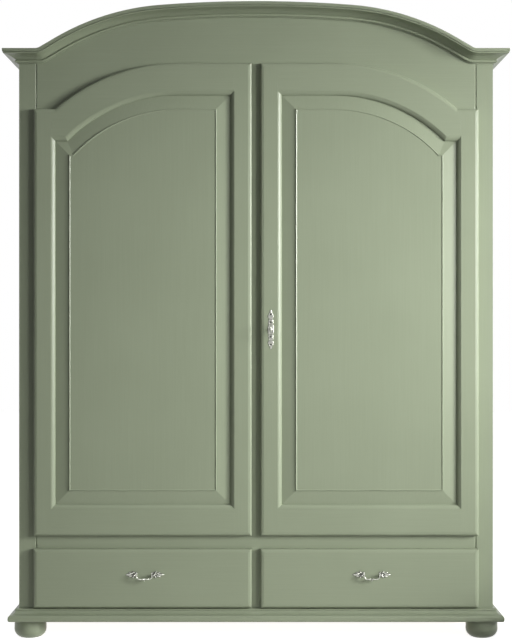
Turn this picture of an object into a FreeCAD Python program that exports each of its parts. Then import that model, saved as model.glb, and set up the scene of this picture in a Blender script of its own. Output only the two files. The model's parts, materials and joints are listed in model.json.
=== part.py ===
import FreeCAD, Part
import math
import os

from FreeCAD import Vector

# Two-door painted wardrobe with an arched cornice, two drawers and four bun feet.
# Millimetres. X runs to the right, +Z up, and the front looks along -Y. The origin is on the
# floor, under the middle of the whole piece. "Front distance" below is measured forwards from
# the front faces of the corner posts; a place behind them has a negative front distance.

# Carcass
carcass_width = 1560.0
carcass_depth = 565.0
post_width = 56.5
post_depth = 45.0
frame_thickness = 26.0
side_rail_height = 78.0
side_panel_thickness = 10.0
side_panel_recess = 8.0
panel_groove_depth = 8.0
panel_groove_play = 0.3
frame_edge_chamfer = 2.5
board_thickness = 18.0
back_thickness = 8.0
back_rebate = 12.0
back_board_width = 148.0
back_vee_depth = 1.6
centre_post_width = 50.0
centre_post_depth = 40.0

# Feet and base moulding
foot_height = 60.0
foot_radius = 53.0
foot_neck_radius = 50.5
foot_pad_radius = 29.0
foot_widest_height = 32.0
foot_side_inset = 32.0
foot_front_inset = 38.0
foot_from_back = 2.0
foot_low_shares = (0.89, 0.36)
foot_neck_share = 0.75
base_height = 41.0
base_overhang = 33.0
base_lip = 6.5
base_lip_round = 4.5
base_lip_height = 6.0
base_quirk = 1.5
base_cove_sag = 5.5
base_nose_height = 21.0
base_nose_round = 6.5
base_nose_front = 10.0
base_nose_under = 3.5

# Heights of the front
drawer_lift = 3.3
drawer_front_height = 193.2
rail_reveal = 43.5
door_height = 1551.5
overlay = 12.0

# Arched cornice
frieze_side_reveal = 150.0
cornice_height = 44.0
cornice_overhang = 49.0
cornice_fillet_height = 10.0
cornice_fillet_setback = 0.5
cornice_quirk = 2.0
cornice_edge_radius = 3.0
cornice_cove_sag = 4.5
cornice_bead_radius = 4.2
cornice_bead_reach = 12.5
cornice_foot_height = 2.6
cornice_foot_reach = 5.0
arch_rise = 153.0
crown_radius = 4050.0
haunch_radius = 800.0
haunch_slope_deg = 30.5
sweep_radius = 30.0
frieze_below_cornice_top = 4.0

# Doors
door_side_overlay = 7.5
centre_strip = 28.0
door_gap = 3.0
door_thickness = 19.0
edge_bevel_width = 12.0
edge_bevel_depth = 8.0
edge_across_shares = (0.0, 0.12, 0.40, 1.0)
edge_down_shares = (1.0, 0.55, 0.20, 0.0)
shoulder_drop = 150.5
shoulder_width = 70.0
door_arch_radius = 612.5
meeting_stile = 57.5
hinge_stile = 59.0
bottom_rail_width = 89.0
top_rail_width = 92.5
sticking_width = 13.0
sticking_depth = 10.5
sticking_across_shares = (0.0, 0.22, 0.55, 0.84, 1.0)
sticking_down_shares = (0.10, 0.16, 0.38, 0.70, 1.0)
tongue_thickness = 3.0
tongue_depth = 6.0
tongue_play = 0.2
tongue_back = 3.0
field_margin = 58.0
field_bevel_depth = 7.0
field_step = 3.0
field_step_slope = 1.4
field_bead_top = 1.0
field_bead_slope = 2.8
field_bead_height = 1.8

# Hinges
hinge_end_distance = 165.0
pin_from_side = 5.0
pin_from_back = 4.0
pin_radius = 2.5
running_clearance = 0.05
knuckle_radius = 4.5
knuckle_height = 20.0
arm_thickness = 3.0
arm_plate_height = 50.0
arm_plate_length = 32.0
arm_neck_length = 8.0
ear_thickness = 4.0
ear_play = 0.5
ear_length = 9.0
pocket_length = 10.0
pocket_play = 0.7
pocket_end_play = 1.0
flap_thickness = 2.0
flap_start = 7.0
flap_width = 40.0

# Lock, key and bolts
lock_height = 677.0
plate_width = 21.0
plate_height = 131.0
plate_thickness = 1.6
plate_waist_shares = (0.16, 0.36, 0.40, 0.30, 0.50, 0.50)
plate_rise_shares = (0.50, 0.41, 0.30, 0.27, 0.15, 0.0)
nail_spread = 99.0
nail_hole_radius = 2.2
spy_hole_drop = 24.0
keyhole_radius = 4.2
keyhole_slot_width = 3.6
keyhole_slot_drop = 11.0
key_reach = 40.0
bow_height = 40.0
bow_depth = 30.0
bow_ring = 4.5
bow_thickness = 3.2
stem_radius = 2.9
collar_radius = 4.4
collar_length = 3.0
bit_drop = 9.2
bit_play = 0.8
bit_thickness = 2.4
bit_length = 7.0
case_width = 60.0
case_height = 84.0
case_depth = 18.0
case_wall = 1.5
case_from_strike = 1.5
bolt_width = 12.0
bolt_thickness = 7.0
bolt_length = 44.0
bolt_throw = 10.0
bolt_play = 0.3
strike_thickness = 1.5
strike_height = 60.0
strike_front_land = 1.2
strike_back_land = 7.0
mortise_play = 1.0
catch_height = 640.0
catch_rod_radius = 4.0
catch_rod_length = 56.0
catch_from_door = 10.0
catch_plate_width = 46.0
catch_plate_height = 30.0
catch_plate_thickness = 2.0
catch_guide_width = 10.0
catch_guide_wall = 2.5
catch_knob_radius = 5.0
catch_knob_length = 9.0
catch_throw = 12.0
catch_from_post = 2.0

# Drawers
drawer_gap = 1.0
drawer_side_clear = 6.0
drawer_side_thickness = 13.0
drawer_side_height = 150.0
drawer_back_clear = 38.0
drawer_bottom_thickness = 6.0
drawer_bottom_lift = 10.0
drawer_bottom_groove = 5.0
runner_play = 0.3
runner_guide_play = 0.5
runner_ledge = 18.0
runner_guide_height = 42.0
drawer_above_rail = 2.0

# Drawer pulls
pull_above_bottom = 110.0
pull_shift = 7.0
pull_spacing = 64.0
boss_radius = 7.5
boss_height = 3.0
pillar_radius = 2.6
pillar_reach = 13.0
ball_radius = 4.6
leaf_thickness = 2.2
leaf_reach = 30.0
leaf_half_height = 11.0
leaf_notch_shares = ((-0.26, 0.0), (-0.06, 0.52), (0.26, 0.60), (0.52, 0.40), (0.76, 0.22), (1.0, 0.0))
leaf_tip_shares = ((-0.24, 0.52), (0.10, 1.0), (0.46, 0.86), (0.70, 0.50), (0.92, 0.22))
bail_rod_radius = 2.0
bail_pin_radius = 1.5
bail_pin_depth = 3.0
bail_play = 0.4
bail_drop = 13.6
bail_corner_radius = 11.0
bail_bead_radius = 4.2
bail_bead_length = 12.0
bail_tip_drop = 7.3
bail_tip_radius = 2.4

# Inside fittings
shelf_below_top = 236.0
bearer_height = 24.0
bearer_width = 50.0
rail_drop = 62.0
rail_radius = 12.5
rail_socket_radius = 19.0
rail_socket_length = 12.0
rail_play = 0.2
hanger_width = 14.0

# How far a cutting shape runs past what it cuts
overrun = 4.0

# Where the middle of a quarter round lies, as a share of its radius
quarter_share = math.sqrt(0.5)

# Places worked out from the sizes above
half_width = carcass_width / 2
post_inner = half_width - post_width
centre_half = centre_post_width / 2
front_y = (door_gap + door_thickness + key_reach - carcass_depth) / 2
back_plane = -carcass_depth
inside_back = back_plane + back_thickness
rail_inner = half_width - frame_thickness
post_back = -post_depth
rear_post_front = back_plane + post_depth

base_bottom = foot_height
base_top = base_bottom + base_height
drawer_bottom = base_top + drawer_lift
drawer_top = drawer_bottom + drawer_front_height
bottom_rail_top = drawer_bottom + overlay
mid_rail_bottom = drawer_top - overlay
door_bottom = drawer_top + rail_reveal
mid_rail_top = door_bottom + overlay
door_top = door_bottom + door_height
door_shoulder = door_top - shoulder_drop
cornice_bottom = door_shoulder + frieze_side_reveal
cornice_end_top = cornice_bottom + cornice_height
carcass_top = cornice_end_top - board_thickness

door_inner = centre_strip / 2
door_outer = post_inner + door_side_overlay
door_front = door_gap + door_thickness
bevel_start = door_front - edge_bevel_depth
arch_centre_z = door_top - door_arch_radius
arch_half_chord = math.sqrt(door_arch_radius ** 2 - (door_shoulder - arch_centre_z) ** 2)
arch_centre_x = door_outer - shoulder_width - arch_half_chord

tongue_plane = door_gap + tongue_back
tongue_front = tongue_plane + tongue_thickness
field_edge_plane = tongue_front + field_bevel_depth
field_plane = field_edge_plane + field_step

pin_x = door_outer - pin_from_side
pin_f = door_gap + pin_from_back
hinge_heights = (
    door_bottom + hinge_end_distance,
    (door_bottom + door_shoulder) / 2,
    door_shoulder - hinge_end_distance,
)

lock_z = door_bottom + lock_height
lock_x = door_inner + (edge_bevel_width + meeting_stile) / 2
catch_z = door_bottom + catch_height
bolt_z = lock_z + bit_drop + bit_play + bolt_width / 2
bolt_f = door_gap - case_depth / 2
catch_f = door_gap - catch_from_door

drawer_middle = (door_inner + door_outer) / 2
pull_z = drawer_bottom + pull_above_bottom
pull_f = door_front + pillar_reach
bail_leg_x = pull_spacing / 2 - ball_radius - bail_play - bail_rod_radius

shelf_top = carcass_top - shelf_below_top
shelf_bottom = shelf_top - board_thickness
rail_z = shelf_bottom - rail_drop
rail_f = (post_back + rear_post_front) / 2

drawer_depth = drawer_gap - inside_back - drawer_back_clear
runner_top = bottom_rail_top + drawer_above_rail - runner_play
drawer_box_bottom = runner_top + runner_play
drawer_side_outer = post_inner - drawer_side_clear
drawer_side_inner = centre_half + drawer_side_clear


def at(x, f, z):
    """A point from its X, its front distance and its height."""
    return Vector(x, front_y - f, z)


def box(x0, x1, f0, f1, z0, z1):
    """A box between two X places, two front distances and two heights."""
    low = at(min(x0, x1), max(f0, f1), min(z0, z1))
    return Part.makeBox(abs(x1 - x0), abs(f1 - f0), abs(z1 - z0), low)


def grow(shape, play):
    """A box that stands clear of another shape's box by the play, all round."""
    b = shape.BoundBox
    low = Vector(b.XMin - play, b.YMin - play, b.ZMin - play)
    return Part.makeBox(b.XLength + 2 * play, b.YLength + 2 * play, b.ZLength + 2 * play, low)


def rod(start, axis, radius, length):
    """A round bar from a point along an axis."""
    return Part.makeCylinder(radius, length, start, axis)


def line(a, b):
    return Part.LineSegment(a, b).toShape()


def arc(a, m, b):
    return Part.Arc(a, m, b).toShape()


def polygon(points):
    """A closed wire through points."""
    return Part.makePolygon(list(points) + [points[0]])


def front_slab(xz_points, f_back, f_front):
    """A plate parallel to the front, from its outline in X and Z."""
    outline = polygon([at(x, f_back, z) for x, z in xz_points])
    return Part.Face(outline).extrude(Vector(0, f_back - f_front, 0))


def join(shapes):
    """Touching or crossing solids made one."""
    first, rest = shapes[0], shapes[1:]
    return first.multiFuse(rest).removeSplitter() if rest else first


def group(shapes):
    """Separate solids kept side by side."""
    return Part.makeCompound(shapes)


def mirrored(shape):
    """The same piece on the other side of the middle plane."""
    return shape.mirror(Vector(0, 0, 0), Vector(1, 0, 0))


def save(name, shape):
    """Write one piece and say how many solids it holds."""
    if not shape.isValid():
        print("NOT VALID", name)
    shape.exportStep("parts/" + name + ".step")
    print(name, len(shape.Solids), round(shape.Volume))


def save_pair(name, right_shape):
    """Write the right-hand piece and its mirror image."""
    save("right_" + name, right_shape)
    save("left_" + name, mirrored(right_shape))


# Arched cornice path

def arch_angles():
    """The crown's half angle and the straight length that fit the rise and the width."""
    slope = math.radians(haunch_slope_deg)
    run = post_inner - frame_edge_chamfer
    side = run - (sweep_radius + haunch_radius) * math.sin(slope)
    drop = arch_rise - sweep_radius * (1 - math.cos(slope))
    fall = drop + haunch_radius * math.cos(slope) - crown_radius
    gap = crown_radius - haunch_radius
    turn = math.acos((side * math.sin(slope) - fall * math.cos(slope)) / gap)
    crown_half_angle = slope - turn
    straight = (fall + gap * math.cos(crown_half_angle)) / math.sin(slope)
    return crown_half_angle, slope, straight


def polar(cx, cz, radius, angle):
    """A point on a circle, with the angle measured from straight up."""
    return cx + radius * math.sin(angle), cz + radius * math.cos(angle)


def arch_points(inset):
    """Points of half the cornice path, middle to end, moved down square to the path."""
    crown_angle, slope, straight = arch_angles()
    apex = cornice_end_top + arch_rise
    crown_z = apex - crown_radius
    haunch_x, haunch_z = polar(0, crown_z, crown_radius - haunch_radius, crown_angle)
    crown = crown_radius - inset
    haunch = haunch_radius - inset
    sweep = sweep_radius + inset
    top_x, top_z = polar(haunch_x, haunch_z, haunch_radius, slope)
    foot_x = top_x + straight * math.cos(slope)
    foot_z = top_z - straight * math.sin(slope)
    sweep_x = foot_x + sweep_radius * math.sin(slope)
    sweep_z = foot_z + sweep_radius * math.cos(slope)
    return (
        polar(0, crown_z, crown, 0),
        polar(0, crown_z, crown, crown_angle / 2),
        polar(0, crown_z, crown, crown_angle),
        polar(haunch_x, haunch_z, haunch, (crown_angle + slope) / 2),
        polar(haunch_x, haunch_z, haunch, slope),
        polar(sweep_x, sweep_z, -sweep, slope),
        polar(sweep_x, sweep_z, -sweep, slope / 2),
        polar(sweep_x, sweep_z, -sweep, 0),
    )


def arch_edges(inset, end_x, f):
    """The whole cornice path, left end to right end, as arcs and straights."""
    p = [at(x, f, z) for x, z in arch_points(inset)]
    q = [at(-x, f, z) for x, z in arch_points(inset)]
    end_z = arch_points(inset)[7][1]
    return [
        line(at(-end_x, f, end_z), q[7]),
        arc(q[7], q[6], q[5]),
        line(q[5], q[4]),
        arc(q[4], q[3], q[2]),
        arc(q[2], p[0], p[2]),
        arc(p[2], p[3], p[4]),
        line(p[4], p[5]),
        arc(p[5], p[6], p[7]),
        line(p[7], at(end_x, f, end_z)),
    ]


def cornice_profile():
    """The moulding's section as (out, down): fillet, small round, cove, bead and foot."""
    fillet_low = cornice_fillet_height
    fillet_out = cornice_overhang - cornice_fillet_setback
    edge = cornice_edge_radius
    edge_out = fillet_out - cornice_quirk - edge
    edge_low = fillet_low + 2 * edge
    bead_out = cornice_bead_reach - cornice_bead_radius
    bead_low = cornice_height - cornice_foot_height
    bead_top = bead_low - 2 * cornice_bead_radius
    return {
        "back_top": (0, 0),
        "front_top": (cornice_overhang, 0),
        "fillet_low": (fillet_out, fillet_low),
        "edge_top": (edge_out, fillet_low),
        "edge_mid": (edge_out + edge, fillet_low + edge),
        "edge_low": (edge_out, edge_low),
        "cove_mid": ((edge_out + bead_out - cornice_cove_sag) / 2,
                     (edge_low + bead_top - cornice_cove_sag) / 2),
        "bead_top": (bead_out, bead_top),
        "bead_mid": (cornice_bead_reach, bead_low - cornice_bead_radius),
        "bead_low": (bead_out, bead_low),
        "foot_top": (cornice_foot_reach, bead_low),
        "foot_low": (cornice_foot_reach, cornice_height),
        "back_low": (0, cornice_height),
    }


def profile_wire(place):
    """The cornice section drawn through a function that places (out, down) points."""
    p = {name: place(*point) for name, point in cornice_profile().items()}
    return Part.Wire([
        line(p["back_top"], p["front_top"]),
        line(p["front_top"], p["fillet_low"]),
        line(p["fillet_low"], p["edge_top"]),
        arc(p["edge_top"], p["edge_mid"], p["edge_low"]),
        arc(p["edge_low"], p["cove_mid"], p["bead_top"]),
        arc(p["bead_top"], p["bead_mid"], p["bead_low"]),
        line(p["bead_low"], p["foot_top"]),
        line(p["foot_top"], p["foot_low"]),
        line(p["foot_low"], p["back_low"]),
        line(p["back_low"], p["back_top"]),
    ])


def mitre_wedge(overhang, low_z, high_z):
    """The space in front of both mitre lines, where the front moulding stays."""
    far = overhang + overrun
    outline = [
        at(-half_width, 0, low_z),
        at(-half_width - far, far, low_z),
        at(half_width + far, far, low_z),
        at(half_width, 0, low_z),
    ]
    return Part.Face(polygon(outline)).extrude(Vector(0, 0, high_z - low_z))


def cornice_front():
    end_x = half_width + cornice_overhang + overrun
    path = Part.Wire(arch_edges(0, end_x, 0))
    end_z = cornice_end_top
    section = profile_wire(lambda out, down: at(-end_x, out, end_z - down))
    swept = path.makePipeShell([section], True, False)
    low = cornice_bottom - overrun
    high = cornice_end_top + arch_rise + overrun
    return swept.common(mitre_wedge(cornice_overhang, low, high))


def cornice_side():
    """The right-hand return, mitred at the front and square at the back."""
    section = profile_wire(
        lambda out, down: at(half_width + out, cornice_overhang, cornice_end_top - down))
    run = carcass_depth + cornice_overhang
    bar = Part.Face(section).extrude(Vector(0, run, 0))
    low = cornice_bottom - overrun
    return bar.cut(mitre_wedge(cornice_overhang, low, cornice_end_top + overrun))


# Base moulding

def base_wire(place):
    """Base moulding section as a rounded lip, a quirk, a shallow cove and a round nose."""
    lip_out = base_lip + base_lip_round
    lip_low = base_height - base_lip_height
    cove_x = lip_out - base_quirk
    nose_x = base_overhang - base_nose_round
    nose_rise = base_nose_height - base_nose_front
    under_x = base_overhang - base_nose_under
    round_end = 1 - quarter_share
    p = [
        place(0, 0),
        place(0, base_height),
        place(base_lip, base_height),
        place(lip_out - base_lip_round * round_end, base_height - base_lip_height * round_end),
        place(lip_out, lip_low),
        place(cove_x, lip_low),
        place((cove_x + nose_x - base_cove_sag) / 2,
              (lip_low + base_nose_height - base_cove_sag) / 2),
        place(nose_x, base_nose_height),
        place(base_overhang - base_nose_round * round_end,
              base_nose_front + nose_rise * quarter_share),
        place(base_overhang, base_nose_front),
        place(base_overhang - base_nose_under * round_end, base_nose_front * round_end),
        place(under_x, 0),
    ]
    return Part.Wire([
        line(p[0], p[1]),
        line(p[1], p[2]),
        arc(p[2], p[3], p[4]),
        line(p[4], p[5]),
        arc(p[5], p[6], p[7]),
        arc(p[7], p[8], p[9]),
        arc(p[9], p[10], p[11]),
        line(p[11], p[0]),
    ])


def base_front():
    end_x = half_width + base_overhang + overrun
    section = base_wire(lambda out, up: at(-end_x, out, base_bottom + up))
    bar = Part.Face(section).extrude(Vector(2 * end_x, 0, 0))
    return bar.common(mitre_wedge(base_overhang, base_bottom - overrun, base_top + overrun))


def base_side():
    section = base_wire(lambda out, up: at(half_width + out, base_overhang, base_bottom + up))
    bar = Part.Face(section).extrude(Vector(0, carcass_depth + base_overhang, 0))
    return bar.cut(mitre_wedge(base_overhang, base_bottom - overrun, base_top + overrun))


def bun_foot(x, f):
    """A turned bun foot, flat where it stands and where it meets the base."""
    def q(r, z):
        return Vector(r, 0, z)
    high = foot_widest_height
    low_out, low_up = foot_low_shares
    neck_mid = foot_neck_radius + (foot_radius - foot_neck_radius) * foot_neck_share
    outline = Part.Wire([
        line(q(0, 0), q(foot_pad_radius, 0)),
        arc(q(foot_pad_radius, 0), q(foot_radius * low_out, high * low_up), q(foot_radius, high)),
        arc(q(foot_radius, high), q(neck_mid, (high + foot_height) / 2),
            q(foot_neck_radius, foot_height)),
        line(q(foot_neck_radius, foot_height), q(0, foot_height)),
        line(q(0, foot_height), q(0, 0)),
    ])
    turned = Part.Face(outline).revolve(Vector(0, 0, 0), Vector(0, 0, 1), 360)
    turned.translate(at(x, f, 0))
    return turned


# Carcass

def side_panel(z0, z1):
    """A flat side panel with its edges in the frame's grooves."""
    outer = half_width - side_panel_recess
    g = panel_groove_depth
    return box(outer - side_panel_thickness, outer, post_back + g, rear_post_front - g,
               z0 - g, z1 + g)


def carcass():
    """Posts, rails, boards and panels of the body."""
    side_rails = {
        "bottom": (base_bottom, bottom_rail_top),
        "middle": (mid_rail_bottom, mid_rail_top),
        "top": (carcass_top - side_rail_height, carcass_top),
    }
    panels = [
        side_panel(bottom_rail_top, mid_rail_bottom),
        side_panel(mid_rail_top, carcass_top - side_rail_height),
    ]
    slots = [grow(panel, panel_groove_play) for panel in panels]
    rails = [
        box(rail_inner, half_width, post_back, rear_post_front, z0, z1).cut(slots)
        for z0, z1 in side_rails.values()
    ]
    save_pair("side_rails", group(rails))
    save_pair("side_panels", group(panels))

    front_post = box(post_inner, half_width, 0, post_back, base_bottom, carcass_top)
    save_pair("front_post", front_post.cut(slots + [post_vee(1)]))

    back_panel_half = post_inner + back_rebate
    back_post = box(post_inner, half_width, rear_post_front, back_plane, base_bottom, carcass_top)
    rebate = box(post_inner - overrun, back_panel_half, inside_back, back_plane - overrun,
                 base_bottom - overrun, carcass_top + overrun)
    save_pair("back_post", back_post.cut(slots + [rebate]))

    back = box(-back_panel_half, back_panel_half, inside_back, back_plane,
               base_bottom, carcass_top)
    save("back_panel", back.cut(back_vees(back_panel_half)))

    posts = [
        box(s * post_inner, s * (half_width + overrun), f0, f1, 0, carcass_top)
        for s in (-1, 1)
        for f0, f1 in ((overrun, post_back), (rear_post_front, back_plane - overrun))
    ]

    def board(z0, z1):
        plain = box(-rail_inner, rail_inner, -frame_thickness, inside_back, z0, z1)
        return plain.cut(posts)

    save("base_board", board(base_bottom, base_bottom + board_thickness))
    save("floor_board", board(mid_rail_top - board_thickness, mid_rail_top))
    top = box(-half_width, half_width, 0, back_plane, carcass_top, cornice_end_top)
    save("top_board", top.cut(box(-post_inner, post_inner, overrun, -frame_thickness,
                                  carcass_top - overrun, cornice_end_top + overrun)))

    shelf = box(-rail_inner, rail_inner, post_back, inside_back, shelf_bottom, shelf_top)
    save("hat_shelf", shelf.cut(posts))
    bearer = box(rail_inner - bearer_width, rail_inner, post_back, rear_post_front,
                 shelf_bottom - bearer_height, shelf_bottom)
    save("shelf_bearers", group([bearer, mirrored(bearer)]))


def vee(x, f, depth):
    """A cutter for an upright vee groove in a face that looks forwards."""
    low = base_bottom - overrun
    high = cornice_end_top + arch_rise + overrun
    outline = [
        at(x - depth - overrun, f + overrun, low),
        at(x + depth + overrun, f + overrun, low),
        at(x, f - depth, low),
    ]
    return Part.Face(polygon(outline)).extrude(Vector(0, 0, high - low))


def post_vee(side):
    """The fine groove where the rails and the frieze meet a corner post."""
    return vee(side * post_inner, 0, frame_edge_chamfer)


def back_vees(half):
    """Vee grooves between the back's boards, on the side that looks into the wardrobe."""
    count = int(half / back_board_width)
    return [vee(i * back_board_width, inside_back, back_vee_depth)
            for i in range(-count, count + 1)]


def mortise_boxes():
    """Holes in the centre post for the lock bolt and for the left door's bolt."""
    p = mortise_play
    lock_hole = box(centre_half - bolt_throw - p, centre_half + overrun,
                    bolt_f - bolt_thickness / 2 - p, bolt_f + bolt_thickness / 2 + p,
                    bolt_z - bolt_width / 2 - p, bolt_z + bolt_width / 2 + p)
    deep = catch_throw + p
    start = at(-centre_half - overrun, catch_f, catch_z)
    catch_hole = rod(start, Vector(1, 0, 0), catch_rod_radius + p, deep + overrun)
    return [lock_hole, catch_hole]


def face_frame():
    """Frieze, rails and centre post of the front."""
    chamfers = [post_vee(-1), post_vee(1)]
    mid = box(-post_inner, post_inner, 0, -frame_thickness, mid_rail_bottom, mid_rail_top)
    save("mid_rail", mid.cut(chamfers))
    low = box(-post_inner, post_inner, 0, -frame_thickness, base_bottom, bottom_rail_top)
    save("bottom_rail", low.cut(chamfers))
    save("drawer_divider", box(-centre_half, centre_half, 0, -frame_thickness,
                               bottom_rail_top, mid_rail_bottom))

    shoulder = door_shoulder - overlay
    radius = door_arch_radius - overlay
    foot_x = arch_centre_x + math.sqrt(radius ** 2 - (shoulder - arch_centre_z) ** 2)
    crown_z = arch_centre_z + radius
    mid_x, mid_z = polar(arch_centre_x, arch_centre_z, radius,
                         math.asin((foot_x - arch_centre_x) / radius) / 2)
    post = box(-centre_half, centre_half, 0, -centre_post_depth, mid_rail_top, crown_z)
    save("centre_post", post.cut(mortise_boxes()))

    f = -frame_thickness
    path = arch_edges(frieze_below_cornice_top, half_width, f)
    end_z = cornice_end_top - frieze_below_cornice_top
    under = [
        line(at(half_width, f, end_z), at(half_width, f, shoulder)),
        line(at(half_width, f, shoulder), at(foot_x, f, shoulder)),
        arc(at(foot_x, f, shoulder), at(mid_x, f, mid_z), at(arch_centre_x, f, crown_z)),
        line(at(arch_centre_x, f, crown_z), at(-arch_centre_x, f, crown_z)),
        arc(at(-arch_centre_x, f, crown_z), at(-mid_x, f, mid_z), at(-foot_x, f, shoulder)),
        line(at(-foot_x, f, shoulder), at(-half_width, f, shoulder)),
        line(at(-half_width, f, shoulder), at(-half_width, f, end_z)),
    ]
    board = Part.Face(Part.Wire(path + under)).extrude(Vector(0, -frame_thickness, 0))
    keep = box(-post_inner, post_inner, overrun, f - overrun,
               shoulder - overrun, cornice_end_top + arch_rise)
    save("frieze", board.common(keep).cut(chamfers))


# Doors: every shape is drawn for the right-hand door

def loop(near, far, low, high, f):
    """A closed outline inside the door's own, by its margins, at one front distance."""
    x_in = door_inner + near
    x_out = door_outer - far
    z_low = door_bottom + low
    z_shoulder = door_shoulder - high
    radius = door_arch_radius - high
    foot_x = arch_centre_x + math.sqrt(radius ** 2 - (z_shoulder - arch_centre_z) ** 2)
    half_turn = math.asin((foot_x - arch_centre_x) / radius) / 2
    mid_x, mid_z = polar(arch_centre_x, arch_centre_z, radius, half_turn)
    top_z = arch_centre_z + radius
    return Part.Wire([
        line(at(x_in, f, z_low), at(x_out, f, z_low)),
        line(at(x_out, f, z_low), at(x_out, f, z_shoulder)),
        line(at(x_out, f, z_shoulder), at(foot_x, f, z_shoulder)),
        arc(at(foot_x, f, z_shoulder), at(mid_x, f, mid_z), at(arch_centre_x, f, top_z)),
        line(at(arch_centre_x, f, top_z), at(x_in, f, top_z)),
        line(at(x_in, f, top_z), at(x_in, f, z_low)),
    ])


def door_loop(inset, f):
    return loop(inset, inset, inset, inset, f)


def panel_loop(margin, f):
    """An outline at one margin inside the edge where the frame's moulding starts."""
    return loop(meeting_stile + margin, hinge_stile + margin,
                bottom_rail_width + margin, top_rail_width + margin, f)


def plate(wire, thickness):
    """A flat plate that grows forwards from an outline."""
    return Part.Face(wire).extrude(Vector(0, -thickness, 0))


def between(lower, upper):
    """A solid with straight sides between two outlines."""
    return Part.makeLoft([lower, upper], True, True)


def eased_edge(outline):
    """The rounded front edge of a door or drawer, whose outline is drawn ever further in."""
    stages = [
        outline(edge_bevel_width * across, door_front - edge_bevel_depth * down)
        for across, down in zip(edge_across_shares, edge_down_shares)
    ]
    return join([between(a, b) for a, b in zip(stages, stages[1:])])


def door_ring():
    """The whole door frame before it is divided into stiles and rails."""
    flat = plate(door_loop(0, door_gap), door_thickness - edge_bevel_depth)
    ring = flat.fuse(eased_edge(door_loop))
    through = plate(panel_loop(sticking_width, door_gap - overrun), door_thickness + 2 * overrun)
    stages = [
        panel_loop(sticking_width * across, door_front - sticking_depth * down)
        for across, down in zip(sticking_across_shares, sticking_down_shares)
    ]
    lip = door_front - sticking_depth * sticking_down_shares[0]
    mouth = plate(panel_loop(0, lip), sticking_depth)
    cutters = [through, mouth]
    cutters += [between(b, a) for a, b in zip(stages, stages[1:])]
    groove = plate(
        panel_loop(sticking_width - tongue_depth - tongue_play, tongue_plane - tongue_play),
        tongue_thickness + 2 * tongue_play)
    return ring.cut(cutters + [groove])


def stile_regions():
    """Areas that hold the hinge stile and the meeting stile, mitred over the moulding."""
    m = sticking_width
    low, high = door_bottom - overrun, door_top + overrun
    x = door_outer - hinge_stile
    z0 = door_bottom + bottom_rail_width
    z1 = door_shoulder - top_rail_width
    hinge_side = [
        (door_outer + overrun, low), (door_outer + overrun, high), (x, high), (x, z1),
        (x - m, z1 - m), (x - m, z0 + m), (x, z0), (x, low),
    ]
    x = door_inner + meeting_stile
    z1 = door_top - top_rail_width
    meeting_side = [
        (door_inner - overrun, low), (door_inner - overrun, high), (x, high), (x, z1),
        (x + m, z1 - m), (x + m, z0 + m), (x, z0), (x, low),
    ]
    back, front = door_gap - overrun, door_front + overrun
    return front_slab(hinge_side, back, front), front_slab(meeting_side, back, front)


def raised_panel():
    m = sticking_width
    tongue = plate(panel_loop(m - tongue_depth, tongue_plane), tongue_thickness)
    slope = between(panel_loop(m, tongue_front), panel_loop(field_margin, field_edge_plane))
    bead_outer = field_margin + field_step_slope
    bead_inner = bead_outer + field_bead_top
    field = between(panel_loop(field_margin, field_edge_plane),
                    panel_loop(bead_outer, field_plane))
    hollow = between(
        panel_loop(bead_inner + field_bead_slope, field_plane - field_bead_height),
        panel_loop(bead_inner, field_plane))
    return join([tongue, slope, field]).cut(hollow)


def hinge_pocket(z):
    """The notch in the back edge of the door that the fixed arm swings into."""
    half = knuckle_height / 2 + ear_thickness + pocket_end_play
    return box(pin_x - pocket_length, door_outer + overrun, door_gap - overrun,
               pin_f + knuckle_radius + pocket_play, z - half, z + half)


def hinge_flap(z):
    """The part of the hinge on the door: a flap, two ears and the pin."""
    flap = box(pin_x - flap_start - flap_width, pin_x - flap_start, door_gap,
               door_gap - flap_thickness, z - arm_plate_height / 2, z + arm_plate_height / 2)
    pieces = [flap]
    for s in (-1, 1):
        near = z + s * (knuckle_height / 2 + ear_play)
        far = near + s * ear_thickness
        low = min(near, far)
        web = box(pin_x - ear_length, pin_x, door_gap, pin_f + pin_from_back, near, far)
        eye = rod(at(pin_x, pin_f, low), Vector(0, 0, 1), pin_from_back, ear_thickness)
        pieces += [web, eye]
    tall = knuckle_height + 2 * (ear_play + ear_thickness)
    pieces.append(rod(at(pin_x, pin_f, z - tall / 2), Vector(0, 0, 1), pin_radius, tall))
    return join(pieces)


def hinge_arm(z):
    """The fixed part of the hinge: a plate on the post, a neck and the knuckle."""
    inner = post_inner - arm_thickness
    base_f = -arm_neck_length
    plate_back = base_f - arm_plate_length
    half = knuckle_height / 2
    plate_box = box(inner, post_inner, base_f, plate_back,
                    z - arm_plate_height / 2, z + arm_plate_height / 2)
    neck = box(inner, post_inner, base_f, pin_f, z - half, z + half)
    knuckle = rod(at(pin_x, pin_f, z - half), Vector(0, 0, 1), knuckle_radius, knuckle_height)
    bore = rod(at(pin_x, pin_f, z - half - overrun), Vector(0, 0, 1),
               pin_radius + running_clearance, knuckle_height + 2 * overrun)
    return join([plate_box, neck, knuckle]).cut(bore)


def keyhole(f_back, f_front):
    """A keyhole that runs through what lies between two front distances."""
    y_axis = Vector(0, -1, 0)
    eye = rod(at(lock_x, f_back, lock_z), y_axis, keyhole_radius, f_front - f_back)
    half = keyhole_slot_width / 2
    slot = box(lock_x - half, lock_x + half, f_back, f_front, lock_z - keyhole_slot_drop, lock_z)
    return eye.fuse(slot)


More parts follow.
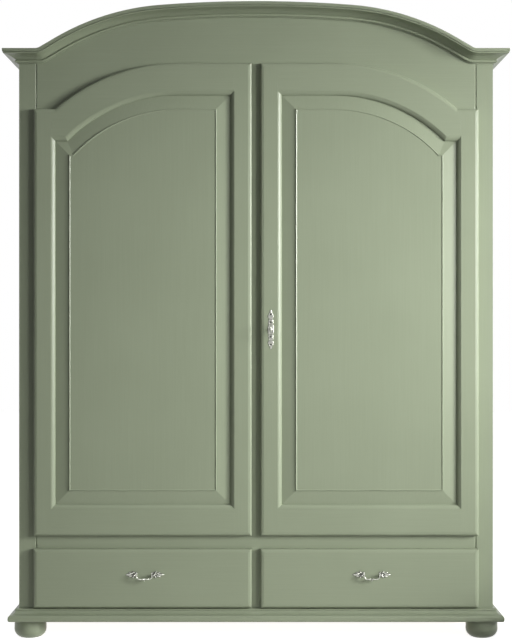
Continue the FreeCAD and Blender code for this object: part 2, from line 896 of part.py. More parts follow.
def doors():
    ring = door_ring()
    hinge_region, meeting_region = stile_regions()
    pockets = [hinge_pocket(z) for z in hinge_heights]
    hinge_side = ring.common(hinge_region).cut(pockets)
    meeting_side = ring.common(meeting_region)
    rails = ring.cut([hinge_region, meeting_region]).Solids
    rails.sort(key=lambda s: s.BoundBox.ZMin)
    save_pair("door_hinge_stile", hinge_side)
    save_pair("door_bottom_rail", rails[0])
    save_pair("door_top_rail", rails[-1])
    save_pair("door_panel", raised_panel())
    save_pair("hinge_flaps", group([hinge_flap(z) for z in hinge_heights]))
    save("left_door_meeting_stile", mirrored(meeting_side))
    drilled = meeting_side.cut(keyhole(door_gap - overrun, door_front + overrun))
    save("right_door_meeting_stile", drilled)
    arms = [hinge_arm(z) for z in hinge_heights]
    save("hinge_arms", group(arms + [mirrored(arm) for arm in arms]))


# Lock and bolts

def lock_plate():
    """A slim waisted plate with nail holes, a keyhole and a small round hole below it."""
    pairs = list(zip(plate_waist_shares, plate_rise_shares))
    right = [(lock_x + w * plate_width, lock_z + h * plate_height) for w, h in pairs]
    right += [(lock_x + w * plate_width, lock_z - h * plate_height) for w, h in reversed(pairs)][1:]
    left = [(2 * lock_x - x, z) for x, z in reversed(right)]
    body = front_slab(right + left, door_front, door_front + plate_thickness)
    holes = [keyhole(door_front - overrun, door_front + overrun)]
    for dz in (nail_spread / 2, -nail_spread / 2, -spy_hole_drop):
        start = at(lock_x, door_front - overrun, lock_z + dz)
        holes.append(rod(start, Vector(0, -1, 0), nail_hole_radius, 2 * overrun))
    return body.cut(holes)


def lock_case():
    """A box lock on the back of the door, with room for the key's bit and the bolt."""
    x0 = centre_half + strike_thickness + case_from_strike
    x1 = x0 + case_width
    f1 = door_gap - case_depth
    z0, z1 = lock_z - case_height / 2, lock_z + case_height / 2
    body = box(x0, x1, door_gap, f1, z0, z1)
    w = case_wall
    turn = rod(at(lock_x, f1 + w, lock_z), Vector(0, -1, 0),
               bit_drop + bit_play, case_depth - 2 * w)
    p = bolt_play
    channel = box(x0 - overrun, x0 + bolt_length + bolt_play, bolt_f - bolt_thickness / 2 - p,
                  bolt_f + bolt_thickness / 2 + p,
                  bolt_z - bolt_width / 2 - p, bolt_z + bolt_width / 2 + p)
    return body.cut([turn, channel, keyhole(f1 + w, door_gap + overrun)])


def lock_bolt():
    x0 = centre_half + strike_thickness + case_from_strike
    return box(x0, x0 + bolt_length, bolt_f - bolt_thickness / 2, bolt_f + bolt_thickness / 2,
               bolt_z - bolt_width / 2, bolt_z + bolt_width / 2)


def key():
    """A key with an oval bow that stands on edge, a collar, a stem and a bit."""
    forward = Vector(0, -1, 0)
    bow_front = door_front + key_reach
    bow_centre = bow_front - bow_depth / 2
    bit_back = door_gap - case_depth + 2 * case_wall
    x0 = lock_x - bow_thickness / 2
    centre = Vector(x0, front_y - bow_centre, lock_z)

    def oval(height, depth):
        ellipse = Part.Ellipse(centre, height / 2, depth / 2)
        shape = ellipse.toShape()
        shape.rotate(centre, Vector(0, 1, 0), 90)
        return Part.Face(Part.Wire([shape])).extrude(Vector(bow_thickness, 0, 0))

    ring = oval(bow_height, bow_depth).cut(
        oval(bow_height - 2 * bow_ring, bow_depth - 2 * bow_ring))
    stem_front = bow_front - bow_depth + bow_ring / 2
    stem = rod(at(lock_x, bit_back, lock_z), forward, stem_radius, stem_front - bit_back)
    collar_back = door_front + plate_thickness + running_clearance
    collar = rod(at(lock_x, collar_back, lock_z), forward, collar_radius, collar_length)
    half = bit_thickness / 2
    bit = box(lock_x - half, lock_x + half, bit_back, bit_back + bit_length,
              lock_z - bit_drop, lock_z)
    return join([stem, ring, collar, bit])


def strike(side, f, z, hole_half):
    """A plate on one side of the centre post, round the hole that a bolt enters."""
    return box(side * centre_half, side * (centre_half + strike_thickness),
               f + hole_half + strike_front_land, f - hole_half - strike_back_land,
               z - strike_height / 2, z + strike_height / 2).cut(mortise_boxes())


def strikes():
    lock_side = strike(1, bolt_f, bolt_z, bolt_thickness / 2 + mortise_play)
    catch_side = strike(-1, catch_f, catch_z, catch_rod_radius + mortise_play)
    return group([lock_side, catch_side])


def catch_start():
    """Where the left door's bolt ends when it is drawn back."""
    return -centre_half - strike_thickness - catch_from_post


def catch_guide():
    """The plate and the two guides that hold the left door's bolt."""
    x1 = catch_start() - catch_from_post
    x0 = x1 - catch_plate_width
    plate_back = door_gap - catch_plate_thickness
    base = box(x0, x1, door_gap, plate_back,
               catch_z - catch_plate_height / 2, catch_z + catch_plate_height / 2)
    outer = catch_rod_radius + catch_guide_wall
    guides = [
        box(a, a + catch_guide_width, plate_back, catch_f - outer,
            catch_z - outer, catch_z + outer)
        for a in (x0, x1 - catch_guide_width)
    ]
    bore = rod(at(x0 - overrun, catch_f, catch_z), Vector(1, 0, 0),
               catch_rod_radius + running_clearance, catch_plate_width + 2 * overrun)
    return join([base] + guides).cut(bore)


def catch_bolt():
    x1 = catch_start()
    bar = rod(at(x1 - catch_rod_length, catch_f, catch_z), Vector(1, 0, 0),
              catch_rod_radius, catch_rod_length)
    plate_mid = x1 - catch_from_post - catch_plate_width / 2 - catch_throw / 2
    knob = rod(at(plate_mid, catch_f, catch_z), Vector(0, 1, 0),
               catch_knob_radius, catch_rod_radius + catch_knob_length)
    return join([bar, knob])


# Drawers: drawn for the right-hand drawer

def drawer_front():
    def rectangle(inset, f):
        x0, x1 = door_inner + inset, door_outer - inset
        z0, z1 = drawer_bottom + inset, drawer_top - inset
        return polygon([at(x0, f, z0), at(x1, f, z0), at(x1, f, z1), at(x0, f, z1)])
    flat = plate(rectangle(0, drawer_gap), bevel_start - drawer_gap)
    return join([flat, eased_edge(rectangle)])


def drawer_box():
    """Two sides and a back, grooved for the bottom."""
    t = drawer_side_thickness
    z0, z1 = drawer_box_bottom, drawer_box_bottom + drawer_side_height
    f0, f1 = drawer_gap, drawer_gap - drawer_depth
    sides = [
        box(drawer_side_inner, drawer_side_inner + t, f0, f1, z0, z1),
        box(drawer_side_outer - t, drawer_side_outer, f0, f1, z0, z1),
    ]
    back = box(drawer_side_inner + t, drawer_side_outer - t, f1 + t, f1, z0, z1)
    slot = grow(drawer_base(), panel_groove_play)
    return group([piece.cut(slot) for piece in sides + [back]])


def drawer_base():
    t = drawer_side_thickness
    g = drawer_bottom_groove
    z = drawer_box_bottom + drawer_bottom_lift
    return box(drawer_side_inner + t - g, drawer_side_outer - t + g, drawer_gap,
               drawer_gap - drawer_depth + t - g, z, z + drawer_bottom_thickness)


def runners():
    """Stepped hardwood runners at both sides and between the drawers."""
    low = base_bottom + board_thickness
    guide_top = runner_top + runner_guide_height
    reach = drawer_side_thickness + runner_ledge
    outer_face = drawer_side_outer + runner_guide_play
    outer = join([
        box(outer_face - reach, rail_inner, post_back, rear_post_front, low, runner_top),
        box(outer_face, rail_inner, post_back, rear_post_front, low, guide_top),
    ])
    inner_face = drawer_side_inner - runner_guide_play
    middle = join([
        box(-inner_face - reach, inner_face + reach, -frame_thickness, inside_back,
            low, runner_top),
        box(-inner_face, inner_face, -frame_thickness, inside_back, low, guide_top),
    ])
    return group([outer, mirrored(outer), middle])


def dome(x, z, radius, height):
    """A low round dome on the drawer front."""
    def q(r, y):
        return Vector(r, y, 0)
    outline = Part.Wire([
        line(q(0, 0), q(radius, 0)),
        arc(q(radius, 0), q(radius * quarter_share, -height * quarter_share), q(0, -height)),
        line(q(0, -height), q(0, 0)),
    ])
    turned = Part.Face(outline).revolve(Vector(0, 0, 0), Vector(0, 1, 0), 360)
    turned.translate(at(x, door_front, z))
    return turned


def leaf(x, side):
    """A flat scalloped leaf that points away from the middle of the pull."""
    def p(point, up):
        along, across = point
        return at(x + side * leaf_reach * along, door_front,
                  pull_z + up * leaf_half_height * across)
    edges = []
    for up in (1, -1):
        notches = [p(point, up) for point in leaf_notch_shares]
        tips = [p(point, up) for point in leaf_tip_shares]
        edges += [arc(a, tip, b) for a, tip, b in zip(notches, tips, notches[1:])]
    outline = Part.Wire(Part.__sortEdges__(edges))
    return Part.Face(outline).extrude(Vector(0, -leaf_thickness, 0))


def pull_boss(middle, side):
    """A rosette of a leaf and a boss, with a pillar and a ball that the bail hangs in."""
    x = middle + side * pull_spacing / 2
    forward = Vector(0, -1, 0)
    pieces = [
        leaf(x, side),
        dome(x, pull_z, boss_radius, boss_height),
        rod(at(x, door_front, pull_z), forward, pillar_radius, pillar_reach),
        Part.makeSphere(ball_radius, at(x, pull_f, pull_z)),
    ]
    inner = x - side * (ball_radius + overrun)
    hole_end = x - side * (ball_radius - bail_pin_depth - bail_play)
    bore = rod(at(inner, pull_f, pull_z), Vector(side, 0, 0),
               bail_pin_radius + running_clearance, abs(hole_end - inner))
    return join(pieces).cut(bore)


def bail(middle):
    """The swinging handle: a bent rod with a pin at each end, a bead and a drop."""
    r = bail_corner_radius
    leg = bail_leg_x
    low = pull_z - bail_drop
    up = Vector(0, 0, 1)

    def p(x, z):
        return at(middle + x, pull_f, z)

    pieces = [rod(p(-leg + r, low), Vector(1, 0, 0), bail_rod_radius, 2 * (leg - r))]
    pin_end = pull_spacing / 2 - ball_radius + bail_pin_depth
    for side in (-1, 1):
        section = Part.Circle(p(side * leg, low + r), up, bail_rod_radius).toShape()
        disc = Part.Face(Part.Wire([section]))
        pieces.append(disc.revolve(p(side * (leg - r), low + r), Vector(0, side, 0), 90))
        pieces.append(rod(p(side * leg, low + r), up, bail_rod_radius, bail_drop - r))
        pieces.append(Part.makeSphere(bail_rod_radius + bail_play / 2, p(side * leg, pull_z)))
        pieces.append(rod(p(side * leg, pull_z), Vector(side, 0, 0), bail_pin_radius,
                          pin_end - leg))
    half = bail_bead_length / 2
    bead_outline = Part.Wire([
        arc(Vector(-half, 0, 0), Vector(0, 0, bail_bead_radius), Vector(half, 0, 0)),
        line(Vector(half, 0, 0), Vector(-half, 0, 0)),
    ])
    bead = Part.Face(bead_outline).revolve(Vector(0, 0, 0), Vector(1, 0, 0), 360)
    bead.translate(p(0, low))
    tip = Part.makeCone(0, bail_tip_radius, bail_tip_drop, p(0, low - bail_tip_drop), up)
    return join(pieces + [bead, tip])


# Clothes rail

def clothes_rail():
    end = rail_inner - rail_play
    return rod(at(-end, rail_f, rail_z), Vector(1, 0, 0), rail_radius, 2 * end)


def rail_sockets():
    """Round sockets on both side panels and a hanger under the hat shelf."""
    hole = rail_radius + rail_play
    bore = rod(at(-half_width, rail_f, rail_z), Vector(1, 0, 0), hole, carcass_width)
    panel_face = half_width - side_panel_recess - side_panel_thickness
    start = rail_inner - rail_socket_length
    socket = rod(at(start, rail_f, rail_z), Vector(1, 0, 0), rail_socket_radius, panel_face - start)
    block = join([
        rod(at(-hanger_width / 2, rail_f, rail_z), Vector(1, 0, 0), rail_socket_radius,
            hanger_width),
        box(-hanger_width / 2, hanger_width / 2, rail_f - rail_socket_radius,
            rail_f + rail_socket_radius, rail_z, shelf_bottom),
    ])
    return group([socket.cut(bore), mirrored(socket).cut(bore), block.cut(bore)])


def feet():
    x = half_width - foot_side_inset
    front_f = -foot_front_inset
    back_f = back_plane + foot_radius + foot_from_back
    save("front_feet", group([bun_foot(-x, front_f), bun_foot(x, front_f)]))
    save("back_feet", group([bun_foot(-x, back_f), bun_foot(x, back_f)]))


def main():
    os.makedirs("parts", exist_ok=True)
    carcass()
    face_frame()
    save("cornice_front", cornice_front())
    save_pair("cornice", cornice_side())
    save("base_moulding_front", base_front())
    save_pair("base_moulding", base_side())
    feet()
    doors()
    save("lock_plate", lock_plate())
    save("lock_case", lock_case())
    save("lock_bolt", lock_bolt())
    save("key", key())
    save("strike_plates", strikes())
    save("catch_guide", catch_guide())
    save("catch_bolt", catch_bolt())
    save_pair("drawer_front", drawer_front())
    save_pair("drawer_box", drawer_box())
    save_pair("drawer_base", drawer_base())
    save("drawer_runners", runners())
    for name, middle in (("left", pull_shift - drawer_middle), ("right", pull_shift + drawer_middle)):
        save(name + "_pull_bosses", group([pull_boss(middle, -1), pull_boss(middle, 1)]))
        save(name + "_bail", bail(middle))
    save("clothes_rail", clothes_rail())
    save("rail_sockets", rail_sockets())


main()
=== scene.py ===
import json
import math
from contextlib import contextmanager

import bmesh
import bpy
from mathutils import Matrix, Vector


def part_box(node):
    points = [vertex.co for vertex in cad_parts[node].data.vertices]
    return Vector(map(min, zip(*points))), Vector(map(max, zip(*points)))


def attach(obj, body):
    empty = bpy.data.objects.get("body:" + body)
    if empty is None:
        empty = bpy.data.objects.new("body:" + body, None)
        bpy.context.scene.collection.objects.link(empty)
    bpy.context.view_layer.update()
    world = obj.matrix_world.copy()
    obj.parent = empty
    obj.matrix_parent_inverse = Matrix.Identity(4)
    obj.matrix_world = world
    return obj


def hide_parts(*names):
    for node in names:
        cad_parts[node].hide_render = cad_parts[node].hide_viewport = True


# The looks of a painted two-door wardrobe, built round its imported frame.
# Metres. X runs to the right, +Z up, and the front looks along -Y.

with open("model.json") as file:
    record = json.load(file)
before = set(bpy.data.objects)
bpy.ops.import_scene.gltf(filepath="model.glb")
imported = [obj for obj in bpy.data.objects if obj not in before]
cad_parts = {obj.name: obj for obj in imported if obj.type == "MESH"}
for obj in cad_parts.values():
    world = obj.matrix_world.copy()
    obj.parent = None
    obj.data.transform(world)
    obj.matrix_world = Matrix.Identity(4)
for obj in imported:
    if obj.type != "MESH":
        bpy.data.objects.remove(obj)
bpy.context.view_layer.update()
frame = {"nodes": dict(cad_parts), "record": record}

bl_info = {
    "name": "Painted wardrobe",
    "version": (1, 0, 0),
    "blender": (4, 5, 0),
    "location": "View3D > Sidebar > Wardrobe",
    "description": "Finishes and cast fittings of a two-door wardrobe",
    "category": "Object",
}

MM = 0.001


def srgb(text):
    """A hex colour as linear red, green, blue and full alpha."""
    parts = [int(text[i:i + 2], 16) / 255 for i in (1, 3, 5)]
    lin = [c / 12.92 if c <= 0.04045 else ((c + 0.055) / 1.055) ** 2.4 for c in parts]
    return (*lin, 1.0)


def colour_prop(name, description, text):
    return bpy.props.FloatVectorProperty(
        name=name, description=description, subtype="COLOR", size=4,
        min=0.0, max=1.0, default=srgb(text))


def length_prop(name, description, millimetres):
    return bpy.props.FloatProperty(
        name=name, description=description, default=millimetres * MM, min=0.0,
        unit="LENGTH", subtype="DISTANCE", precision=4)


def number_prop(name, description, value):
    return bpy.props.FloatProperty(name=name, description=description, default=value, min=0.0)


def share_prop(name, description, value):
    return bpy.props.FloatProperty(
        name=name, description=description, default=value, min=0.0, max=1.0, subtype="FACTOR")


class WardrobePaint(bpy.types.PropertyGroup):
    sage: colour_prop("Sage", "Colour of the satin paint", "#8a937c")
    sage_deep: colour_prop("Deep sage", "Colour where the paint lies thicker", "#868f78")
    brush_width: length_prop("Brush mark width", "Width of one brush mark in the paint", 2.6)
    brush_length: length_prop("Brush mark length", "Length of one brush mark in the paint", 190.0)
    cloud_size: length_prop("Cloud size", "Size of the soft patches in the paint", 260.0)
    roughness: share_prop("Roughness", "Roughness of the satin paint", 0.36)
    easing: length_prop("Easing", "How far sanding and the coats of paint round an edge", 1.0)


class WardrobeWood(bpy.types.PropertyGroup):
    pine_early: colour_prop("Pale pine", "Early wood between the rings", "#e0c595")
    pine_late: colour_prop("Dark pine", "Late wood of the rings", "#c2965c")
    beech: colour_prop("Beech", "Colour of the beech", "#cfa577")
    beech_fleck: colour_prop("Beech fleck", "Colour of the flecks in the beech", "#a97a4c")
    ring_width: length_prop("Ring width", "Distance between two rings of the pine", 9.0)
    drift_width: length_prop("Drift width", "How far across the grain the rings wander", 34.0)
    drift_length: length_prop("Drift length", "How far along the grain the rings wander", 900.0)
    drift_rings: number_prop("Drift rings", "How many rings wide the wandering is", 9.0)
    fibre_width: length_prop("Fibre width", "Width of a bundle of fibres", 2.04)
    fibre_length: length_prop("Fibre length", "Length of a bundle of fibres", 270.0)
    fleck_length: length_prop("Fleck length", "Length of a fleck in the beech", 5.0)
    roughness: share_prop("Roughness", "Roughness of the planed wood", 0.62)
    turned_roughness: share_prop("Turned roughness", "Roughness of the turned wood", 0.50)


class WardrobeMetal(bpy.types.PropertyGroup):
    silver: colour_prop("Old silver", "Colour of the polished high places", "#b2b4ab")
    # This dark colour is the real patina of the hollows, and also the painted shade on the rims of
    # the castings fastened to the wood.
    patina_and_rim_shade: colour_prop("Patina", "Colour of the dark hollows", "#23221c")
    zinc: colour_prop("Zinc", "Colour of the plated steel", "#b9bcbd")
    zinc_dull: colour_prop("Dull zinc", "Colour of the duller crystals of the zinc", "#a9adaf")
    crystal: length_prop("Crystal", "Size of the crystals in the zinc", 6.0)
    blackened: colour_prop("Blackened steel", "Colour of the blackened nails", "#1b1a18")
    grain: length_prop("Casting grain", "Size of the grain left by the casting", 1.2)
    roughness: share_prop("Roughness", "Roughness of the old silver", 0.26)


class WardrobePull(bpy.types.PropertyGroup):
    spacing: length_prop("Spacing", "Between the middles of the two rosettes", 64.0)
    reach: length_prop("Reach", "From the drawer to the middle of the bail's pins", 13.0)
    leaf: length_prop("Leaf", "From the middle of a rosette to its tip", 30.0)
    rise: length_prop("Rise", "How far the petals stand out of the drawer", 3.0)
    boss: length_prop("Boss", "Radius of the round boss in a rosette", 7.5)
    pillar: length_prop("Pillar", "Radius of a pillar", 2.6)
    ball: length_prop("Ball", "Radius of the ball that holds a pin", 4.6)
    pin: length_prop("Pin", "Radius of the bail's pins", 1.5)
    bore: length_prop("Bore", "Radius of the holes that the pins turn in", 1.55)
    pin_end: length_prop("Pin end", "From the pull's middle to the end of a pin", 30.4)
    leg: length_prop("Leg", "From the pull's middle to a leg of the bail", 25.0)
    rod: length_prop("Rod", "Radius of the bail's rod", 2.0)
    drop: length_prop("Drop", "From the pins down to the middle of the rod", 13.6)
    elbow: length_prop("Elbow", "Radius of the bail's bends", 11.0)
    cell: length_prop("Cell", "Finest form that the casting keeps", 0.4)


class WardrobePlate(bpy.types.PropertyGroup):
    keyhole: length_prop("Keyhole", "Radius of the keyhole", 4.2)
    slot: length_prop("Slot", "Width of the keyhole's slot", 3.6)
    slot_drop: length_prop("Slot drop", "From the key's middle to the slot's end", 11.0)
    nail: length_prop("Nail", "Radius of a nail hole", 3.0)
    outer_hole: length_prop("Outer holes", "From the key's middle to the outer holes", 49.5)
    inner_hole: length_prop("Inner holes", "From the key's middle to the inner holes", 24.0)
    cell: length_prop("Cell", "Finest form that the casting keeps", 0.4)


class WardrobeKey(bpy.types.PropertyGroup):
    bow_height: length_prop("Bow height", "Height of the key's oval bow", 40.0)
    bow_depth: length_prop("Bow depth", "Depth of the key's oval bow", 30.0)
    bow_ring: length_prop("Bow ring", "Width of the bow's ring, above and below", 4.5)
    bow_thickness: length_prop("Bow thickness", "Thickness of the bow", 3.4)
    stem: length_prop("Stem", "Radius of the stem", 2.9)
    collar: length_prop("Collar", "Radius of the collar on the stem", 4.4)
    collar_length: length_prop("Collar length", "Length of the collar along the stem", 3.0)
    bit_thickness: length_prop("Bit thickness", "Thickness of the bit", 2.4)
    bit_drop: length_prop("Bit drop", "From the stem's middle to the bit's edge", 9.2)
    bit_length: length_prop("Bit length", "Length of the bit along the stem", 7.0)
    ward: length_prop("Ward", "Width of the slot in the bit", 1.4)
    cell: length_prop("Cell", "Finest form that the casting keeps", 0.35)


class WardrobeScrews(bpy.types.PropertyGroup):
    head: length_prop("Head", "Radius of a screw's head", 3.4)
    rise: length_prop("Rise", "How far a head stands out", 0.9)
    slot: length_prop("Slot", "Width of the cross cut into a head", 0.8)
    slot_depth: length_prop("Slot depth", "Depth of the cross", 0.5)
    plate: length_prop("Hinge plate", "Height of one hinge plate", 50.0)
    leaf: length_prop("Hinge leaf", "Width of a hinge's flap on the door", 40.0)
    arm: length_prop("Arm", "Thickness of a hinge arm's plate", 3.0)
    arm_neck: length_prop("Arm neck", "From the post's front to the arm's plate", 8.0)
    guide_plate: length_prop("Guide plate", "Thickness of the plate under the bolt's guides", 2.0)
    strike: length_prop("Strike", "Height of a strike plate", 60.0)
    edge: length_prop("Edge", "From a plate's edge to a screw", 8.0)


class WardrobeStage(bpy.types.PropertyGroup):
    floor: colour_prop("Floor", "Colour of the pale floor", "#f7f6f2")
    floor_glow: share_prop("Floor glow", "How far the floor is lifted towards white", 0.93)
    card: colour_prop("Card", "Colour of the black cards", "#202020")
    room_light: share_prop("Room light", "How bright the room is, beside the lamps", 0.01)
    camera_distance: length_prop("Camera distance", "From the camera to the posts' front", 5000.0)
    camera_height: length_prop("Camera height", "Height of the camera over the floor", 1049.0)
    view_height: length_prop("View height", "Height that the picture shows at the posts", 2107.3)


def add_node(tree, kind, inputs=None, **settings):
    """Adds a node, sets what it is told to, and links the inputs that are given sockets."""
    made = tree.nodes.new(kind)
    for name, value in settings.items():
        setattr(made, name, value)
    for name, value in (inputs or {}).items():
        if isinstance(value, bpy.types.NodeSocket):
            tree.links.new(value, made.inputs[name])
        else:
            made.inputs[name].default_value = value
    return made


def new_material(name):
    """An empty material with one surface shader, and its tree, shader and Object coordinates."""
    made = bpy.data.materials.new(name)
    made.use_nodes = True
    tree = made.node_tree
    tree.nodes.clear()
    shader = add_node(tree, "ShaderNodeBsdfPrincipled")
    add_node(tree, "ShaderNodeOutputMaterial", {"Surface": shader.outputs["BSDF"]})
    place = add_node(tree, "ShaderNodeTexCoord").outputs["Object"]
    return made, tree, shader, place


def between(tree, share, low, high):
    """A share from 0 to 1 turned into a value between two others."""
    spread = add_node(tree, "ShaderNodeMapRange",
                      {"Value": share, "To Min": low, "To Max": high})
    return spread.outputs["Result"]


def two_colours(tree, share, a, b):
    mixed = add_node(tree, "ShaderNodeMix", {0: share, 6: a, 7: b}, data_type="RGBA")
    return mixed.outputs[2]


def stretched_noise(tree, place, sizes, detail=2.0, roughness=0.5):
    """Noise whose patches have one size along each of X, Y and Z."""
    mapped = add_node(tree, "ShaderNodeMapping",
                      {"Vector": place, "Scale": [1 / size for size in sizes]})
    noise = add_node(tree, "ShaderNodeTexNoise",
                     {"Vector": mapped.outputs["Vector"], "Scale": 1.0, "Detail": detail,
                      "Roughness": roughness})
    return noise.outputs["Fac"]


def drawn_out(along, width, length):
    """The sizes of a pattern that is stretched along one of the axes x, y and z."""
    return [length if axis == along else width for axis in "xyz"]


def satin_paint(name, along):
    """Satin furniture paint, brushed on along the grain of each solid-wood piece."""
    # Satin paint scatters most light evenly, with a soft broad gloss on its rounded edges. The
    # real brush marks are about 0.5 mm wide, and are drawn wider here so that they show.
    look = bpy.context.scene.wardrobe_paint
    made, tree, shader, place = new_material(name)
    sizes = drawn_out(along, look.brush_width, look.brush_length)
    marks = stretched_noise(tree, place, sizes, detail=3.0, roughness=0.6)
    clouds = stretched_noise(tree, place, (look.cloud_size,) * 3)
    soft = add_node(tree, "ShaderNodeMath", {0: clouds, 1: marks}, operation="ADD")
    share = add_node(tree, "ShaderNodeMapRange",
                     {"Value": soft.outputs[0], "From Min": 0.75, "From Max": 1.25})
    colour = two_colours(tree, share.outputs["Result"], tuple(look.sage_deep), tuple(look.sage))
    eased = add_node(tree, "ShaderNodeBevel", {"Radius": look.easing}, samples=4)
    bump = add_node(tree, "ShaderNodeBump",
                    {"Height": marks, "Strength": 0.10, "Distance": 0.2 * MM,
                     "Normal": eased.outputs["Normal"]})
    tree.links.new(colour, shader.inputs["Base Color"])
    tree.links.new(bump.outputs["Normal"], shader.inputs["Normal"])
    rough = look.roughness
    tree.links.new(between(tree, marks, rough - 0.04, rough + 0.04), shader.inputs["Roughness"])
    shader.inputs["Specular IOR Level"].default_value = 0.4
    return made


def planed_pine(name, along):
    """Planed pine: pale early wood, with darker rings drawn out along the grain."""
    # Bare planed pine is matt, and its rings run the whole length of a board.
    look = bpy.context.scene.wardrobe_wood
    made, tree, shader, place = new_material(name)
    drift = stretched_noise(tree, place, drawn_out(along, look.drift_width, look.drift_length))
    across = {"x": "Z", "z": "X", "y": "X"}[along]
    apart = add_node(tree, "ShaderNodeSeparateXYZ", {"Vector": place})
    depth = add_node(tree, "ShaderNodeMath", {0: apart.outputs[across], 1: 1 / look.ring_width},
                     operation="MULTIPLY")
    bent = add_node(tree, "ShaderNodeMath", {0: drift, 1: look.drift_rings, 2: depth.outputs[0]},
                    operation="MULTIPLY_ADD")
    saw = add_node(tree, "ShaderNodeMath", {0: bent.outputs[0]}, operation="FRACT")
    ramp = add_node(tree, "ShaderNodeMapRange",
                    {"Value": saw.outputs[0], "From Min": 0.35, "From Max": 0.95},
                    interpolation_type="SMOOTHSTEP")
    fibre_sizes = drawn_out(along, look.fibre_width, look.fibre_length)
    fibres = stretched_noise(tree, place, fibre_sizes, detail=3.0, roughness=0.7)
    share = add_node(tree, "ShaderNodeMath", {0: ramp.outputs["Result"], 1: fibres},
                     operation="MULTIPLY")
    colour = two_colours(tree, share.outputs[0], tuple(look.pine_early), tuple(look.pine_late))
    bump = add_node(tree, "ShaderNodeBump",
                    {"Height": fibres, "Strength": 0.15, "Distance": 0.2 * MM})
    tree.links.new(colour, shader.inputs["Base Color"])
    tree.links.new(bump.outputs["Normal"], shader.inputs["Normal"])
    shader.inputs["Roughness"].default_value = look.roughness
    return made


def turned_beech(name):
    """Turned and sanded beech, even in colour, with short dark flecks along the grain."""
    look = bpy.context.scene.wardrobe_wood
    made, tree, shader, place = new_material(name)
    length = look.fleck_length
    flecks = stretched_noise(tree, place, (length, length / 5, length / 5), detail=1.0)
    share = add_node(tree, "ShaderNodeMapRange",
                     {"Value": flecks, "From Min": 0.55, "From Max": 0.75})
    colour = two_colours(tree, share.outputs["Result"], tuple(look.beech),
                         tuple(look.beech_fleck))
    tree.links.new(colour, shader.inputs["Base Color"])
    shader.inputs["Roughness"].default_value = look.turned_roughness
    return made


def old_silver(name, paint_rim_shade):
    """Cast, silver-plated zinc, rubbed bright on the high places and dark in the hollows, and if
    asked, with painted shade on its rims.
    """
    # Plating over a sand-cast face keeps a fine grain, so the gloss is broken up a little.
    # Pointiness is 0.5 on a flat face, and less in a hollow.
    look = bpy.context.scene.wardrobe_metal
    made, tree, shader, place = new_material(name)
    grain = stretched_noise(tree, place, (look.grain,) * 3, detail=3.0, roughness=0.6)
    worn = add_node(tree, "ShaderNodeNewGeometry").outputs["Pointiness"]
    share = add_node(tree, "ShaderNodeMapRange",
                     {"Value": worn, "From Min": 0.47, "From Max": 0.507}).outputs["Result"]
    if paint_rim_shade:
        # Painted shade: faces that turn away from the front are darkened to the colour of the
        # hollows. This stands for the dark outline that shade draws round the rims of the castings
        # on the door and drawers.
        normal = add_node(tree, "ShaderNodeTexCoord").outputs["Normal"]
        facing = add_node(tree, "ShaderNodeSeparateXYZ", {0: normal}).outputs["Y"]
        painted_rim_shade_mask = add_node(tree, "ShaderNodeMapRange",
                          {"Value": facing, "From Min": -0.6, "From Max": -0.92})
        share = add_node(tree, "ShaderNodeMath", {0: share, 1: painted_rim_shade_mask.outputs["Result"]},
                         operation="MULTIPLY").outputs[0]
    colour = two_colours(tree, share, tuple(look.patina_and_rim_shade), tuple(look.silver))
    bump = add_node(tree, "ShaderNodeBump",
                    {"Height": grain, "Strength": 0.25, "Distance": 0.1 * MM})
    tree.links.new(colour, shader.inputs["Base Color"])
    tree.links.new(bump.outputs["Normal"], shader.inputs["Normal"])
    rough = look.roughness
    tree.links.new(between(tree, grain, rough - 0.08, rough + 0.10), shader.inputs["Roughness"])
    shader.inputs["Metallic"].default_value = 1.0
    return made


def zinc_steel(name):
    """Pressed steel with bright zinc plating, faintly clouded by its crystals."""
    look = bpy.context.scene.wardrobe_metal
    made, tree, shader, place = new_material(name)
    crystals = stretched_noise(tree, place, (look.crystal,) * 3, detail=2.0)
    colour = two_colours(tree, crystals, tuple(look.zinc_dull), tuple(look.zinc))
    tree.links.new(colour, shader.inputs["Base Color"])
    tree.links.new(between(tree, crystals, 0.30, 0.46), shader.inputs["Roughness"])
    shader.inputs["Metallic"].default_value = 1.0
    return made


def blackened_steel(name):
    """Nails blackened in hot oil: dull, dark and a little uneven."""
    look = bpy.context.scene.wardrobe_metal
    made, tree, shader, place = new_material(name)
    scale = stretched_noise(tree, place, (look.grain,) * 3, detail=2.0)
    tree.links.new(between(tree, scale, 0.5, 0.75), shader.inputs["Roughness"])
    shader.inputs["Base Color"].default_value = tuple(look.blackened)
    shader.inputs["Metallic"].default_value = 0.6
    return made


# Which way the grain or the brush marks run on each carried-over piece.
LEVEL = ("mid_rail", "bottom_rail", "frieze", "cornice_front", "base_moulding_front",
         "left_door_top_rail", "left_door_bottom_rail", "right_door_top_rail",
         "right_door_bottom_rail", "left_drawer_front", "right_drawer_front")
DEEP = ("left_side_rails", "right_side_rails", "left_cornice", "right_cornice", "top_board",
        "left_base_moulding", "right_base_moulding")


